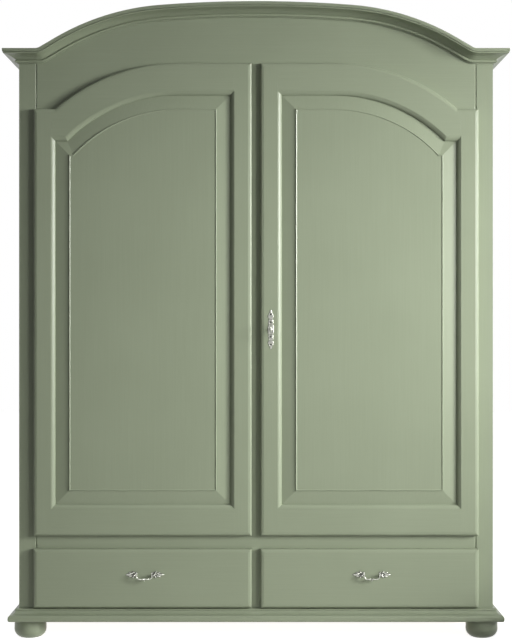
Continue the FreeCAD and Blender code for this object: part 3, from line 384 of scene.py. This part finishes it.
class WARDROBE_OT_finishes(bpy.types.Operator):
    """Put paint, bare wood and metal on the pieces of the frame"""

    bl_idname = "wardrobe.finishes"
    bl_label = "Finish the frame"

    def execute(self, context):
        made = {
            "sage_paint": satin_paint("satin_sage_paint_upright", "z"),
            "pine": planed_pine("planed_pine_across", "x"),
            "beech": turned_beech("turned_beech"),
            "old_silver": old_silver("handled_old_silver", False),
            "zinc_steel": zinc_steel("bright_zinc_steel"),
        }
        level = satin_paint("satin_sage_paint_level", "x")
        deep = satin_paint("satin_sage_paint_deep", "y")
        back = planed_pine("planed_pine_upright", "z")
        sides = planed_pine("planed_pine_deep", "y")
        slots = {part["node"]: part["material_slot"] for part in frame["record"]["subparts"]}
        for name, piece in frame["nodes"].items():
            material = made[slots[name]]
            if name in LEVEL:
                material = level
            if name in DEEP:
                material = deep
            if name == "back_panel":
                material = back
            if name in ("left_drawer_box", "right_drawer_box", "drawer_runners"):
                material = sides
            for place in piece.material_slots:
                place.material = material
        return {"FINISHED"}


def alone(piece):
    """Makes one piece the only one that is selected, and the active one."""
    bpy.ops.object.select_all(action="DESELECT")
    piece.select_set(True)
    bpy.context.view_layer.objects.active = piece


@contextmanager
def shaping(piece):
    """Edit mode on one piece, with nothing selected at the start."""
    alone(piece)
    bpy.ops.object.mode_set(mode="EDIT")
    bpy.ops.mesh.select_all(action="DESELECT")
    yield bmesh.from_edit_mesh(piece.data)
    bpy.ops.object.mode_set(mode="OBJECT")


def start(kind, name, **settings):
    """A fresh primitive to shape, under its own name and alone in the selection."""
    bpy.ops.object.select_all(action="DESELECT")
    getattr(bpy.ops.mesh, "primitive_" + kind + "_add")(**settings)
    piece = bpy.context.object
    piece.name = name
    return piece


def move(piece, offset):
    """Shift a piece's mesh, so that the piece itself stays at the origin."""
    with shaping(piece):
        bpy.ops.mesh.select_all(action="SELECT")
        bpy.ops.transform.translate(value=offset)


def pressed_ball(place, size, turn=0.0):
    """A ball pressed to three half sizes, turned in the front's plane and set in place."""
    piece = start("uv_sphere", "pressed_ball", segments=32, ring_count=16, radius=1.0)
    with shaping(piece):
        bpy.ops.mesh.select_all(action="SELECT")
        bpy.ops.transform.resize(value=size)
        bpy.ops.transform.rotate(value=turn, orient_axis="Y", center_override=(0, 0, 0))
        bpy.ops.transform.translate(value=place)
    return piece


def turned(place, direction, steps):
    """A turned form: a disc drawn on along a direction through (distance, radius) steps."""
    place, direction = Vector(place), Vector(direction)
    begin, radius = steps[0]
    piece = start("circle", "turned", vertices=40, radius=radius, fill_type="NGON",
                  rotation=direction.to_track_quat("Z", "Y").to_euler())
    bpy.ops.object.transform_apply(location=False, rotation=True, scale=False)
    with shaping(piece):
        bpy.ops.mesh.select_all(action="SELECT")
        bpy.ops.transform.translate(value=place + direction * begin)
        for (a, wide), (b, narrow) in zip(steps, steps[1:]):
            bpy.ops.mesh.extrude_region_move(
                TRANSFORM_OT_translate={"value": direction * (b - a)})
            bpy.ops.transform.resize(value=(narrow / wide,) * 3,
                                     center_override=place + direction * b)
    return piece


def joined(name, pieces):
    """Several pieces made into one under a new name."""
    bpy.ops.object.select_all(action="DESELECT")
    for piece in pieces:
        piece.select_set(True)
    bpy.context.view_layer.objects.active = pieces[0]
    bpy.ops.object.join()
    pieces[0].name = name
    return pieces[0]


def applied(piece, kind, **settings):
    """Puts one modifier on a piece and applies it."""
    alone(piece)
    bpy.ops.object.modifier_add(type=kind)
    modifier = piece.modifiers[-1]
    for name, value in settings.items():
        setattr(modifier, name, value)
    bpy.ops.object.modifier_apply(modifier=modifier.name)


def cast(piece, cell):
    """Melts joined forms into one casting, with soft edges as casting and plating leave them."""
    applied(piece, "REMESH", mode="VOXEL", voxel_size=cell)
    applied(piece, "SMOOTH", factor=0.5, iterations=2)


def cut(piece, cutter):
    """Takes one piece's form out of another and throws the cutter away."""
    applied(piece, "BOOLEAN", operation="DIFFERENCE", solver="EXACT", object=cutter)
    alone(cutter)
    bpy.ops.object.delete()


def flat_back(piece, back):
    """Cuts away what lies behind a plane square to Y, and closes the cut."""
    with shaping(piece):
        bpy.ops.mesh.select_all(action="SELECT")
        bpy.ops.mesh.bisect(plane_co=(0, back, 0), plane_no=(0, 1, 0), use_fill=True,
                            clear_outer=True, threshold=0.001 * MM)


def mirrored(piece):
    """Adds the same form on the other side of X = 0, merges it there and turns it outwards."""
    applied(piece, "MIRROR", use_axis=(True, False, False), merge_threshold=0.01 * MM)
    with shaping(piece):
        bpy.ops.mesh.select_all(action="SELECT")
        bpy.ops.mesh.remove_doubles(threshold=0.001 * MM)
        bpy.ops.mesh.normals_make_consistent(inside=False)


def copy_of(piece, name):
    """A copy that has a mesh of its own."""
    alone(piece)
    bpy.ops.object.duplicate(linked=False)
    made = bpy.context.object
    made.name = name
    return made


def finished(piece, material, body, node):
    """Smooth shading, a material, and the body, node and slot that a piece belongs to."""
    alone(piece)
    bpy.ops.object.shade_smooth_by_angle(angle=math.radians(40))
    piece.data.materials.clear()
    piece.data.materials.append(material)
    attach(piece, body)
    if node:
        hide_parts(node)


def silver(paint_rim_shade):
    """The old silver with painted shade on its rims, made once, for what is fastened to the wood,
    or the plain old silver of what a hand holds.
    """
    if not paint_rim_shade:
        return bpy.data.materials["handled_old_silver"]
    return bpy.data.materials.get("old_silver_with_painted_rim_shade") or old_silver("old_silver_with_painted_rim_shade", True)


# The petals of one rosette: along the pull, up, half length and half width, all as shares of
# the leaf, and their turn in degrees. All but the first are repeated below the middle.
PETAL_SHARES = (
    (0.66, 0.0, 0.35, 0.13, 0.0),
    (0.44, 0.16, 0.27, 0.10, 20.0),
    (0.15, 0.24, 0.17, 0.10, 58.0),
    (-0.14, 0.17, 0.16, 0.09, 125.0),
)


class WARDROBE_OT_rosettes(bpy.types.Operator):
    """Cast the leafy rosettes, pillars and balls of both drawer pulls"""

    bl_idname = "wardrobe.rosettes"
    bl_label = "Cast the rosettes"

    def execute(self, context):
        look = context.scene.wardrobe_pull
        low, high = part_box("left_pull_bosses")
        back, level = high.y, (low.z + high.z) / 2
        casting = joined("left_rosettes", self.petals(look, back, level)
                         + self.pillar(look, back, level))
        cast(casting, look.cell)
        flat_back(casting, back)
        self.bore(casting, look, back - look.reach, level)
        mirrored(casting)
        other = copy_of(casting, "right_rosettes")
        for side, piece in (("left", casting), ("right", other)):
            node = side + "_pull_bosses"
            low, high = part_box(node)
            move(piece, ((low.x + high.x) / 2, 0, 0))
            finished(piece, silver(True), side + "_drawer", node)
        return {"FINISHED"}

    def petals(self, look, back, level):
        """One long petal and three pairs of shorter ones."""
        made = []
        for along, up, half, thin, turn in PETAL_SHARES:
            for way in ((1, -1) if up else (1,)):
                place = (look.spacing / 2 + along * look.leaf, back, level + way * up * look.leaf)
                size = (half * look.leaf, look.rise, thin * look.leaf)
                made.append(pressed_ball(place, size, way * math.radians(turn)))
        return made

    def pillar(self, look, back, level):
        """The boss with its ring, the waisted pillar and the ball at its end."""
        x, r = look.spacing / 2, look.pillar
        boss = pressed_ball((x, back, level), (look.boss, look.rise * 1.2, look.boss))
        ring = start("torus", "ring", major_radius=look.boss * 0.72, minor_radius=look.boss * 0.12,
                     major_segments=40, minor_segments=10, location=(x, back - look.rise, level),
                     rotation=(math.radians(90), 0, 0))
        bpy.ops.object.transform_apply(location=True, rotation=True, scale=True)
        reach = look.reach
        steps = ((0, r * 1.9), (reach * 0.28, r * 1.5), (reach * 0.36, r), (reach * 0.52, r * 0.9),
                 (reach * 0.6, r * 1.3), (reach * 0.68, r), (reach, r))
        stem = turned((x, back, level), (0, -1, 0), steps)
        ball = pressed_ball((x, back - reach, level), (look.ball,) * 3)
        return [boss, ring, stem, ball]

    def bore(self, casting, look, front, level):
        """The hole that the bail's pin turns in, from the inner side of the ball."""
        inner = look.spacing / 2 - look.ball * 1.5
        end = look.pin_end + look.bore - look.pin + look.rod * 0.15
        drill = turned((inner, front, level), (1, 0, 0), ((0, look.bore), (end - inner, look.bore)))
        cut(casting, drill)


class WARDROBE_OT_bails(bpy.types.Operator):
    """Bend the two swinging bails, with their knuckles, beads and drops"""

    bl_idname = "wardrobe.bails"
    bl_label = "Bend the bails"

    def execute(self, context):
        look = context.scene.wardrobe_pull
        low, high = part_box("left_pull_bosses")
        front, level = high.y - look.reach, (low.z + high.z) / 2
        bail = joined("left_bail_casting", self.forms(look, front, level))
        cast(bail, look.cell * 0.75)
        self.open_middle(bail)
        pin = turned((look.leg, front, level), (1, 0, 0),
                     ((0, look.pin), (look.pin_end - look.leg, look.pin)))
        bail = joined("left_bail_casting", [bail, pin])
        mirrored(bail)
        other = copy_of(bail, "right_bail_casting")
        for side, piece in (("left", bail), ("right", other)):
            low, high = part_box(side + "_pull_bosses")
            move(piece, ((low.x + high.x) / 2, 0, 0))
            finished(piece, silver(False), side + "_bail", side + "_bail")
        return {"FINISHED"}

    def open_middle(self, bail):
        """Leaves only the right half, open at the middle, for the mirror to close."""
        with shaping(bail):
            bpy.ops.mesh.select_all(action="SELECT")
            bpy.ops.mesh.bisect(plane_co=(0, 0, 0), plane_no=(-1, 0, 0), clear_outer=True,
                                threshold=0.001 * MM)

    def forms(self, look, front, level):
        """The rod, its knuckle and T-shaped top, a bead, the middle collar and the drop.

        Their sizes are shares of the rod's radius.
        """
        r, leg, low = look.rod, look.leg, level - look.drop
        top = level + r * 3.2
        rod = turned((leg, front, top), (0, 0, -1), ((0, r), (top - low - look.elbow, r)))
        with shaping(rod) as mesh:
            end = low + look.elbow
            for face in mesh.faces:
                face.select = all(abs(v.co.z - end) < 0.01 * MM for v in face.verts)
            bpy.ops.mesh.spin(steps=10, angle=math.radians(90), axis=(0, -1, 0),
                              center=(leg - look.elbow, front, end))
            bpy.ops.mesh.extrude_region_move(
                TRANSFORM_OT_translate={"value": (-(leg - look.elbow) - r, 0, 0)})
        return [
            rod,
            pressed_ball((leg, front, level), (r * 1.25, r * 1.45, r * 1.45)),
            pressed_ball((leg, front, top), (r * 1.7, r, r * 0.8)),
            pressed_ball((leg - look.elbow, front, low), (r * 0.6, r * 1.25, r * 1.25)),
            pressed_ball((r * 4.2, front, low), (r * 1.7, r * 1.4, r * 1.2), math.radians(12)),
            pressed_ball((r * 2.0, front, low + r * 0.5), (r * 1.5, r * 1.6, r * 1.2),
                         math.radians(28)),
            pressed_ball((0, front, low), (r * 1.1, r * 2.0, r * 2.1)),
            pressed_ball((0, front, low - r * 2.3), (r * 0.85, r * 0.9, r * 1.3)),
        ]


def block(name, low, high):
    """A block between two corners."""
    piece = start("cube", name, size=1.0)
    with shaping(piece):
        bpy.ops.mesh.select_all(action="SELECT")
        bpy.ops.transform.resize(value=[b - a for a, b in zip(low, high)])
        bpy.ops.transform.translate(value=[(a + b) / 2 for a, b in zip(low, high)])
    return piece


# The lobes of the lock plate: out from the middle, up, half width and half height, as shares of
# the plate's height, and their turn in degrees. Each is repeated below, and to the left.
LOBE_SHARES = (
    (0.0, 0.0, 0.072, 0.15, 0.0),
    (0.0, 0.20, 0.042, 0.12, 0.0),
    (0.0, 0.325, 0.050, 0.085, 0.0),
    (0.0, 0.425, 0.032, 0.070, 0.0),
    (0.050, 0.075, 0.024, 0.062, 14.0),
    (0.044, 0.155, 0.020, 0.048, -24.0),
    (0.036, 0.235, 0.018, 0.046, 24.0),
    (0.050, 0.318, 0.022, 0.050, -20.0),
    (0.034, 0.398, 0.016, 0.046, 22.0),
)


class WARDROBE_OT_lock_plate(bpy.types.Operator):
    """Cast the ornate plate round the keyhole"""

    bl_idname = "wardrobe.lock_plate"
    bl_label = "Cast the lock plate"

    def execute(self, context):
        look = context.scene.wardrobe_plate
        low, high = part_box("lock_plate")
        back, thickness, height = high.y, high.y - low.y, high.z - low.z
        x, z = (low.x + high.x) / 2, (low.z + high.z) / 2
        lobes = []
        for out, up, half, tall, turn in LOBE_SHARES:
            for side in ((1, -1) if out else (1,)):
                for way in ((1, -1) if up else (1,)):
                    place = (x + side * out * height, back, z + way * up * height)
                    size = (half * height, thickness * 0.94, tall * height)
                    lobes.append(pressed_ball(place, size, side * way * math.radians(turn)))
        plate = joined("lock_plate_casting", lobes + [self.ring(look, x, back, z, thickness)])
        cast(plate, look.cell)
        flat_back(plate, back)
        cut(plate, self.drill(x, back, z, look.keyhole, thickness))
        cut(plate, block("slot", (x - look.slot / 2, back - 2 * thickness, z - look.slot_drop),
                         (x + look.slot / 2, back + thickness, z)))
        levels = [z + rise for rise in (look.outer_hole, look.inner_hole,
                                        -look.inner_hole, -look.outer_hole)]
        for level in levels:
            cut(plate, self.drill(x, back, level, look.nail, thickness))
        finished(plate, silver(True), "right_door", "lock_plate")
        self.nails(look, x, back, levels, thickness)
        return {"FINISHED"}

    def nails(self, look, x, back, levels, thickness):
        """The domed heads of the four blackened nails, sunk in their holes."""
        r, tall = look.nail * 0.93, thickness * 0.7
        steps = ((0, r), (0.5 * tall, r), (0.8 * tall, 0.75 * r), (tall, 0.35 * r))
        heads = [turned((x, back, level), (0, -1, 0), steps) for level in levels]
        finished(joined("plate_nails", heads), blackened_steel("blackened_steel"),
                 "right_door", None)

    def drill(self, x, back, z, radius, thickness):
        """A round rod that goes right through the plate."""
        return turned((x, back + thickness, z), (0, -1, 0), ((0, radius), (3 * thickness, radius)))

    def ring(self, look, x, back, z, thickness):
        """The raised lip round the keyhole."""
        wire = thickness * 0.45
        ring = start("torus", "lip", major_radius=look.keyhole + 1.6 * wire, minor_radius=wire,
                     major_segments=48, minor_segments=12, rotation=(math.radians(90), 0, 0),
                     location=(x, back - thickness + wire, z))
        bpy.ops.object.transform_apply(location=True, rotation=True, scale=True)
        return ring


class WARDROBE_OT_key(bpy.types.Operator):
    """Cast the key, with its oval bow, ringed collar and slotted bit"""

    bl_idname = "wardrobe.key"
    bl_label = "Cast the key"

    def execute(self, context):
        look = context.scene.wardrobe_key
        low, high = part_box("key")
        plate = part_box("lock_plate")[0].y
        x, z = (low.x + high.x) / 2, (low.z + high.z) / 2
        bow = start("torus", "bow", major_segments=64, minor_segments=16,
                    major_radius=(look.bow_height - look.bow_ring) / 2,
                    minor_radius=look.bow_ring / 2, rotation=(0, math.radians(90), 0))
        bpy.ops.object.transform_apply(location=False, rotation=True, scale=False)
        with shaping(bow):
            bpy.ops.mesh.select_all(action="SELECT")
            flat = look.bow_thickness / look.bow_ring
            bpy.ops.transform.resize(value=(flat, look.bow_depth / look.bow_height, 1),
                                     center_override=(0, 0, 0))
            bpy.ops.transform.translate(value=(x, low.y + look.bow_depth / 2, z))
        inner = low.y + look.bow_depth - look.bow_ring / 2
        stem = self.stem(look, (x, high.y, z), high.y - inner, high.y - plate)
        bit = block("bit", (x - look.bit_thickness / 2, high.y - look.bit_length,
                            z - look.bit_drop),
                    (x + look.bit_thickness / 2, high.y, z))
        key = joined("key_casting", [stem, bow, bit])
        cast(key, look.cell)
        middle = high.y - look.bit_length / 2
        cut(key, block("ward", (x - look.stem, middle - look.ward / 2, z - 2 * look.bit_drop),
                       (x + look.stem, middle + look.ward / 2, z - look.bit_drop * 0.6)))
        finished(key, silver(False), "key", "key")
        return {"FINISHED"}

    def stem(self, look, place, length, plate):
        """The stem from the bit to the bow, with a collar that keeps clear of the plate."""
        r, wide, step = look.stem, look.collar, look.collar_length
        a = plate + 0.4 * look.cell
        steps = ((0, r * 0.9), (0.1 * r, r * 0.97), (a, r * 0.97), (a + 0.1 * step, wide * 0.95),
                 (a + 0.45 * step, wide * 0.97), (a + 0.6 * step, r * 1.05),
                 (a + 0.75 * step, r * 1.2), (a + step, r * 1.2), (a + 1.3 * step, r * 0.85),
                 (length - 0.8 * step, r * 0.8), (length - 0.4 * step, r * 1.2), (length, r * 0.9))
        return turned(place, (0, -1, 0), steps)


class WARDROBE_OT_screws(bpy.types.Operator):
    """Set cross-cut screws in the hinges, the lock case, the bolt's guide and the strike plates"""

    bl_idname = "wardrobe.screws"
    bl_label = "Set the screws"

    def execute(self, context):
        look = context.scene.wardrobe_screws
        screw = self.model(look)
        low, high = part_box("catch_guide")
        face, middle = low.y + look.guide_plate, (low.x + high.x) / 2
        guide = [(middle, face, low.z + look.head * 1.5), (middle, face, high.z - look.head * 1.5)]
        low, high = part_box("lock_case")
        case = self.corners(look, (low.x, high.x), (high.y, high.y), (low.z, high.z))
        self.on_door(look, screw, "left", guide)
        self.on_door(look, screw, "right", case)
        self.on_carcass(look, screw)
        alone(screw)
        bpy.ops.object.delete()
        return {"FINISHED"}

    def on_door(self, look, screw, side, places):
        """The screws of one door, which all face backwards."""
        low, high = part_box(side + "_hinge_flaps")
        leaf = (low.x, low.x + look.leaf) if side == "right" else (high.x - look.leaf, high.x)
        for z in self.hinge_feet(look, low.z, high.z):
            places = places + self.corners(look, leaf, (high.y, high.y), (z, z + look.plate))
        name = side + "_door_screws"
        self.finish(name, self.group(screw, places, (-90, 0, 0)), side + "_door")

    def on_carcass(self, look, screw):
        """The screws of the hinge arms and of the strike plates, which face sideways."""
        post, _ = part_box("right_front_post")
        low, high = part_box("hinge_arms")
        depth, made = (post.y + look.arm_neck, high.y), []
        for side in (1, -1):
            face, places = side * (post.x - look.arm), []
            for z in self.hinge_feet(look, low.z, high.z):
                places += self.corners(look, (face, face), depth, (z, z + look.plate))
            made.append(self.group(screw, places, (0, -90 * side, 0)))
        low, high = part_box("strike_plates")
        for side, top in ((1, high.z), (-1, low.z + look.strike)):
            place = [side * (high.x - look.rise / 2), (low.y + high.y) / 2]
            ends = (top - look.head * 1.5, top - look.strike + look.head * 1.5)
            made.append(self.group(screw, [(*place, end) for end in ends], (0, 90 * side, 0)))
        self.finish("carcass_screws", joined("carcass_screws", made), "carcass")

    def finish(self, name, screws, body):
        screws.name = name
        finished(screws, bpy.data.materials["bright_zinc_steel"], body, None)

    def hinge_feet(self, look, low, high):
        """The lower ends of the three hinge plates, which are evenly spaced."""
        return (low, (low + high - look.plate) / 2, high - look.plate)

    def corners(self, look, *spans):
        """The places inside the corners of a plate that is given by its spans in X, Y and Z."""
        ends = [(a + look.edge, b - look.edge) if b > a else (a,) for a, b in spans]
        return [(x, y, z) for x in ends[0] for y in ends[1] for z in ends[2]]

    def group(self, screw, places, turn):
        """Copies of the one modelled screw, turned and set in their places, as one piece."""
        made = []
        for place in places:
            made.append(copy_of(screw, "screw"))
            made[-1].rotation_euler = [math.radians(angle) for angle in turn]
            made[-1].location = place
        screws = joined("screws", made)
        alone(screws)
        bpy.ops.object.transform_apply(location=True, rotation=True, scale=True)
        return screws

    def model(self, look):
        """One screw's head at the origin, facing up, with a cross cut into it."""
        r, h = look.head, look.rise
        head = turned((0, 0, 0), (0, 0, 1), ((0, r), (0.3 * h, r), (0.65 * h, 0.84 * r),
                                             (0.9 * h, 0.5 * r), (h, 0.2 * r)))
        half, long, floor = look.slot / 2, 0.6 * r, h - look.slot_depth
        cut(head, block("slot", (-half, -long, floor), (half, long, 2 * h)))
        cut(head, block("slot", (-long, -half, floor), (long, half, 2 * h)))
        return head


# Each lamp's place and aim in metres, with Y from the front of the posts, its width and height,
# its spread in degrees and its power in watts.
LAMPS = (
    ("key_lamp", (4.1, -1.7, 1.9), (0.55, 0.0, 1.05), 0.9, 1.4, 55, 29.0),
    ("broad_lamp", (2.9, -2.6, 1.6), (0.5, 0.0, 1.05), 1.6, 1.4, 60, 14.0),
    ("top_lamp", (0.0, -0.8, 5.5), (0.0, -0.6, 0.0), 2.5, 1.5, 180, 25.0),
    ("back_lamp", (-3.4, 2.8515, 2.4), (-0.6, 0.5515, 1.0), 1.8, 1.8, 120, 18.0),
)

# Each card's place in metres, with Y from the front of the posts, its height and width, and its
# turn in degrees.
FLAGS = (
    ("flag", (1.7, -0.6, 0.24), 0.48, 1.6, -25),
    ("foot_flag", (0.98, -0.15, 0.085), 0.17, 0.4, -20),
)
DARK_CARD = ("dark_card", (-2.0, -1.3, 1.2), 2.4, 1.6, 10)


class WARDROBE_OT_stage(bpy.types.Operator):
    """Set out the floor, the lamps, the background and the camera"""

    bl_idname = "wardrobe.stage"
    bl_label = "Set the stage"

    def execute(self, context):
        look = context.scene.wardrobe_stage
        front = Vector((0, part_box("right_front_post")[0].y, 0))
        self.floor(look)
        self.lamps(front)
        self.cards(look, front)
        self.background(look, context.scene)
        self.camera(look, front)
        context.scene.view_settings.view_transform = "Standard"
        return {"FINISHED"}

    def floor(self, look):
        """A plain pale floor that looks white, and still takes the wardrobe's shadow."""
        floor = start("plane", "floor", size=24.0)
        made, tree, shader, _ = new_material("pale_floor")
        shader.inputs["Base Color"].default_value = tuple(look.floor)
        shader.inputs["Roughness"].default_value = 0.85
        shader.inputs["Emission Color"].default_value = srgb("#ffffff")
        glow = between(tree, self.seen_directly(tree), 0.0, look.floor_glow)
        tree.links.new(glow, shader.inputs["Emission Strength"])
        floor.data.materials.append(made)

    def lamps(self, front):
        """Two softboxes at the right, one overhead, and a fill for the left side and the back."""
        for name, place, aim, width, height, spread, power in LAMPS:
            place, aim = front + Vector(place), front + Vector(aim)
            bpy.ops.object.light_add(type="AREA", location=place)
            lamp = bpy.context.object
            lamp.name = name
            lamp.data.shape = "RECTANGLE"
            lamp.data.size = width
            lamp.data.size_y = height
            lamp.data.spread = math.radians(spread)
            lamp.data.energy = power
            lamp.rotation_euler = (aim - place).to_track_quat("-Z", "Y").to_euler()

    def cards(self, look, front):
        """Black cards: flags that shade the floor and a foot, and one the metal mirrors."""
        material, _, shader, _ = new_material("black_card")
        shader.inputs["Base Color"].default_value = tuple(look.card)
        for values in FLAGS:
            self.card(front, material, *values).visible_glossy = False
        self.card(front, material, *DARK_CARD).visible_shadow = False

    def card(self, front, material, name, place, tall, wide, turn):
        """An upright card that neither the camera nor scattered light sees."""
        card = start("plane", name, size=1.0, location=front + Vector(place),
                     rotation=(0, math.radians(90), math.radians(turn)))
        card.scale = (tall, wide, 1.0)
        bpy.ops.object.transform_apply(location=True, rotation=True, scale=True)
        card.data.materials.append(material)
        card.visible_camera = False
        card.visible_diffuse = False
        return card

    def seen_directly(self, tree):
        """1 for a ray from the camera, from a gloss or through clear glass, and else 0."""
        path = add_node(tree, "ShaderNodeLightPath")
        either = add_node(tree, "ShaderNodeMath",
                          {0: path.outputs["Is Camera Ray"], 1: path.outputs["Is Glossy Ray"]},
                          operation="MAXIMUM")
        return add_node(tree, "ShaderNodeMath",
                        {0: either.outputs[0], 1: path.outputs["Is Transmission Ray"]},
                        operation="MAXIMUM").outputs[0]

    def background(self, look, scene):
        """White wherever the camera, a gloss or clear glass looks past the wardrobe."""
        scene.world = bpy.data.worlds.new("studio")
        scene.world.use_nodes = True
        tree = scene.world.node_tree
        tree.nodes.clear()
        strength = between(tree, self.seen_directly(tree), look.room_light, 1.0)
        sky = add_node(tree, "ShaderNodeBackground", {"Color": srgb("#ffffff"),
                                                      "Strength": strength})
        add_node(tree, "ShaderNodeOutputWorld", {"Surface": sky.outputs["Background"]})

    def camera(self, look, front):
        """A level camera straight in front of the wardrobe."""
        place = front + Vector((0, -look.camera_distance, look.camera_height))
        bpy.ops.object.camera_add(location=place, rotation=(math.radians(90), 0, 0))
        camera = bpy.context.object
        camera.name = "camera"
        camera.data.lens = camera.data.sensor_width * look.camera_distance / look.view_height
        bpy.context.scene.camera = camera


class VIEW3D_PT_wardrobe(bpy.types.Panel):
    """Sizes, colours and pieces of the wardrobe"""

    bl_label = "Wardrobe"
    bl_space_type = "VIEW_3D"
    bl_region_type = "UI"
    bl_category = "Wardrobe"

    def draw(self, context):
        for name, group in SETTINGS.items():
            box = self.layout.box()
            for prop in group.__annotations__:
                box.prop(getattr(context.scene, name), prop)
        for operator in OPERATORS:
            self.layout.operator(operator.bl_idname)


SETTINGS = {
    "wardrobe_paint": WardrobePaint,
    "wardrobe_wood": WardrobeWood,
    "wardrobe_metal": WardrobeMetal,
    "wardrobe_pull": WardrobePull,
    "wardrobe_plate": WardrobePlate,
    "wardrobe_key": WardrobeKey,
    "wardrobe_screws": WardrobeScrews,
    "wardrobe_stage": WardrobeStage,
}
OPERATORS = (WARDROBE_OT_finishes, WARDROBE_OT_rosettes, WARDROBE_OT_bails,
             WARDROBE_OT_lock_plate, WARDROBE_OT_key, WARDROBE_OT_screws, WARDROBE_OT_stage)


def register():
    for made in (*SETTINGS.values(), *OPERATORS, VIEW3D_PT_wardrobe):
        bpy.utils.register_class(made)
    for name, group in SETTINGS.items():
        setattr(bpy.types.Scene, name, bpy.props.PointerProperty(type=group))


def unregister():
    for name in SETTINGS:
        delattr(bpy.types.Scene, name)
    for made in (VIEW3D_PT_wardrobe, *reversed(OPERATORS), *reversed(SETTINGS.values())):
        bpy.utils.unregister_class(made)


def main():
    register()
    bpy.ops.wardrobe.finishes()
    bpy.ops.wardrobe.rosettes()
    bpy.ops.wardrobe.bails()
    bpy.ops.wardrobe.lock_plate()
    bpy.ops.wardrobe.key()
    bpy.ops.wardrobe.screws()
    bpy.ops.wardrobe.stage()


if __name__ == "__main__":
    main()
